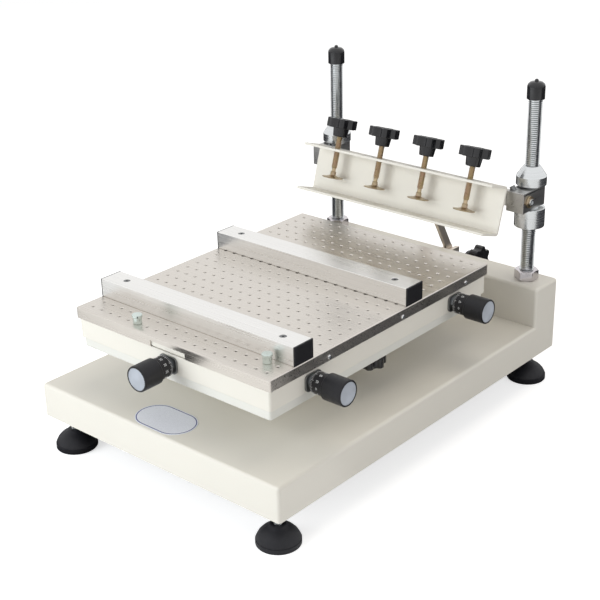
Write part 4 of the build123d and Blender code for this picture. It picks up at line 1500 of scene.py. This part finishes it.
class PRINTER_OT_studio(bpy.types.Operator):
    """Make the floor, the lights and the camera"""

    bl_idname = "printer.studio"
    bl_label = "Studio"

    def execute(self, context):
        scene = context.scene
        studio = scene.printer_studio
        bm = bmesh.new()
        bmesh.ops.create_grid(bm, x_segments=1, y_segments=1, size=6)
        add_to_stage("floor", bm, floor_finish(studio.floor))
        self.add_dark_card()
        set_world(studio.ambient)
        low, high = CAD_BOX
        target = (low + high) / 2
        for name, power, size, from_target, tint in (
            ("key_light", studio.key_power, (1.8, 1.4), (-0.9, -2.0, 0.75), (0.94, 0.98, 1.0)),
            ("fill_light", studio.fill_power, (1.2, 1.6), (1.9, 0.1, 0.8), (1, 1, 1)),
            ("top_light", studio.top_power, (1.4, 1.4), (0.1, 0.5, 1.9), (1.0, 0.93, 0.82)),
        ):
            add_light(name, power, size, target + Vector(from_target), target, tint)
        self.set_camera(scene)
        scene.view_settings.view_transform = "Standard"
        return {"FINISHED"}

    def add_dark_card(self):
        """Dark card on the floor behind the printer, which only shows in metal and gives it contrast."""
        low, high = (-2.5, -0.2, 0.001), (2.5, 2.5, 0.002)
        bm = placed(box(low, high), Matrix.Rotation(radians(25), 4, "Z"))
        card = add_to_stage("dark_card", bm, finish_named("card_black"))
        card.visible_camera = False
        card.visible_diffuse = False
        card.visible_shadow = False

    def set_camera(self, scene):
        """Camera at the photograph's place, by its distance from the middle of the platform's top."""
        platform = centre("platform_plate")
        platform.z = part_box("platform_plate")[1].z
        from_platform = Vector((0.94527, -1.05645, 0.60308))
        tilt, roll, heading = radians(66.2453), radians(1.1624), radians(40.7641)
        camera = bpy.data.cameras.new("camera")
        camera.lens = 77.747
        camera.sensor_width = 36
        item = shown("camera", camera)
        item.location = platform + from_platform
        item.rotation_euler = (tilt, roll, heading)
        scene.camera = item


class PRINTER_PT_panel(bpy.types.Panel):
    """Panel that lists the pieces of the printer"""

    bl_label = "Stencil printer"
    bl_idname = "PRINTER_PT_panel"
    bl_space_type = "VIEW_3D"
    bl_region_type = "UI"
    bl_category = "Printer"

    def draw(self, context):
        for operator in OPERATORS:
            self.layout.operator(operator.bl_idname)


GROUPS = {
    "printer_colours": PrinterColours,
    "printer_base": PrinterBase,
    "printer_threads": PrinterThreads,
    "printer_plate": PrinterPlate,
    "printer_knobs": PrinterKnobs,
    "printer_studio": PrinterStudio,
}
OPERATORS = (
    PRINTER_OT_base,
    PRINTER_OT_badge,
    PRINTER_OT_feet,
    PRINTER_OT_posts,
    PRINTER_OT_carriage,
    PRINTER_OT_stage,
    PRINTER_OT_adjusters,
    PRINTER_OT_platform,
    PRINTER_OT_rails,
    PRINTER_OT_pins,
    PRINTER_OT_holder,
    PRINTER_OT_clamps,
    PRINTER_OT_locks,
    PRINTER_OT_inner_pieces,
    PRINTER_OT_studio,
)


def register():
    """Register the settings, the operators and the panel."""
    for name, group in GROUPS.items():
        bpy.utils.register_class(group)
        setattr(bpy.types.Scene, name, PointerProperty(type=group))
    for operator in OPERATORS:
        bpy.utils.register_class(operator)
    bpy.utils.register_class(PRINTER_PT_panel)


def unregister():
    """Take back what register added."""
    bpy.utils.unregister_class(PRINTER_PT_panel)
    for operator in reversed(OPERATORS):
        bpy.utils.unregister_class(operator)
    for name, group in reversed(GROUPS.items()):
        delattr(bpy.types.Scene, name)
        bpy.utils.unregister_class(group)


def main():
    """Make every piece in order."""
    register()
    for operator in OPERATORS:
        family, action = operator.bl_idname.split(".")
        getattr(getattr(bpy.ops, family), action)()


if __name__ == "__main__":
    main()
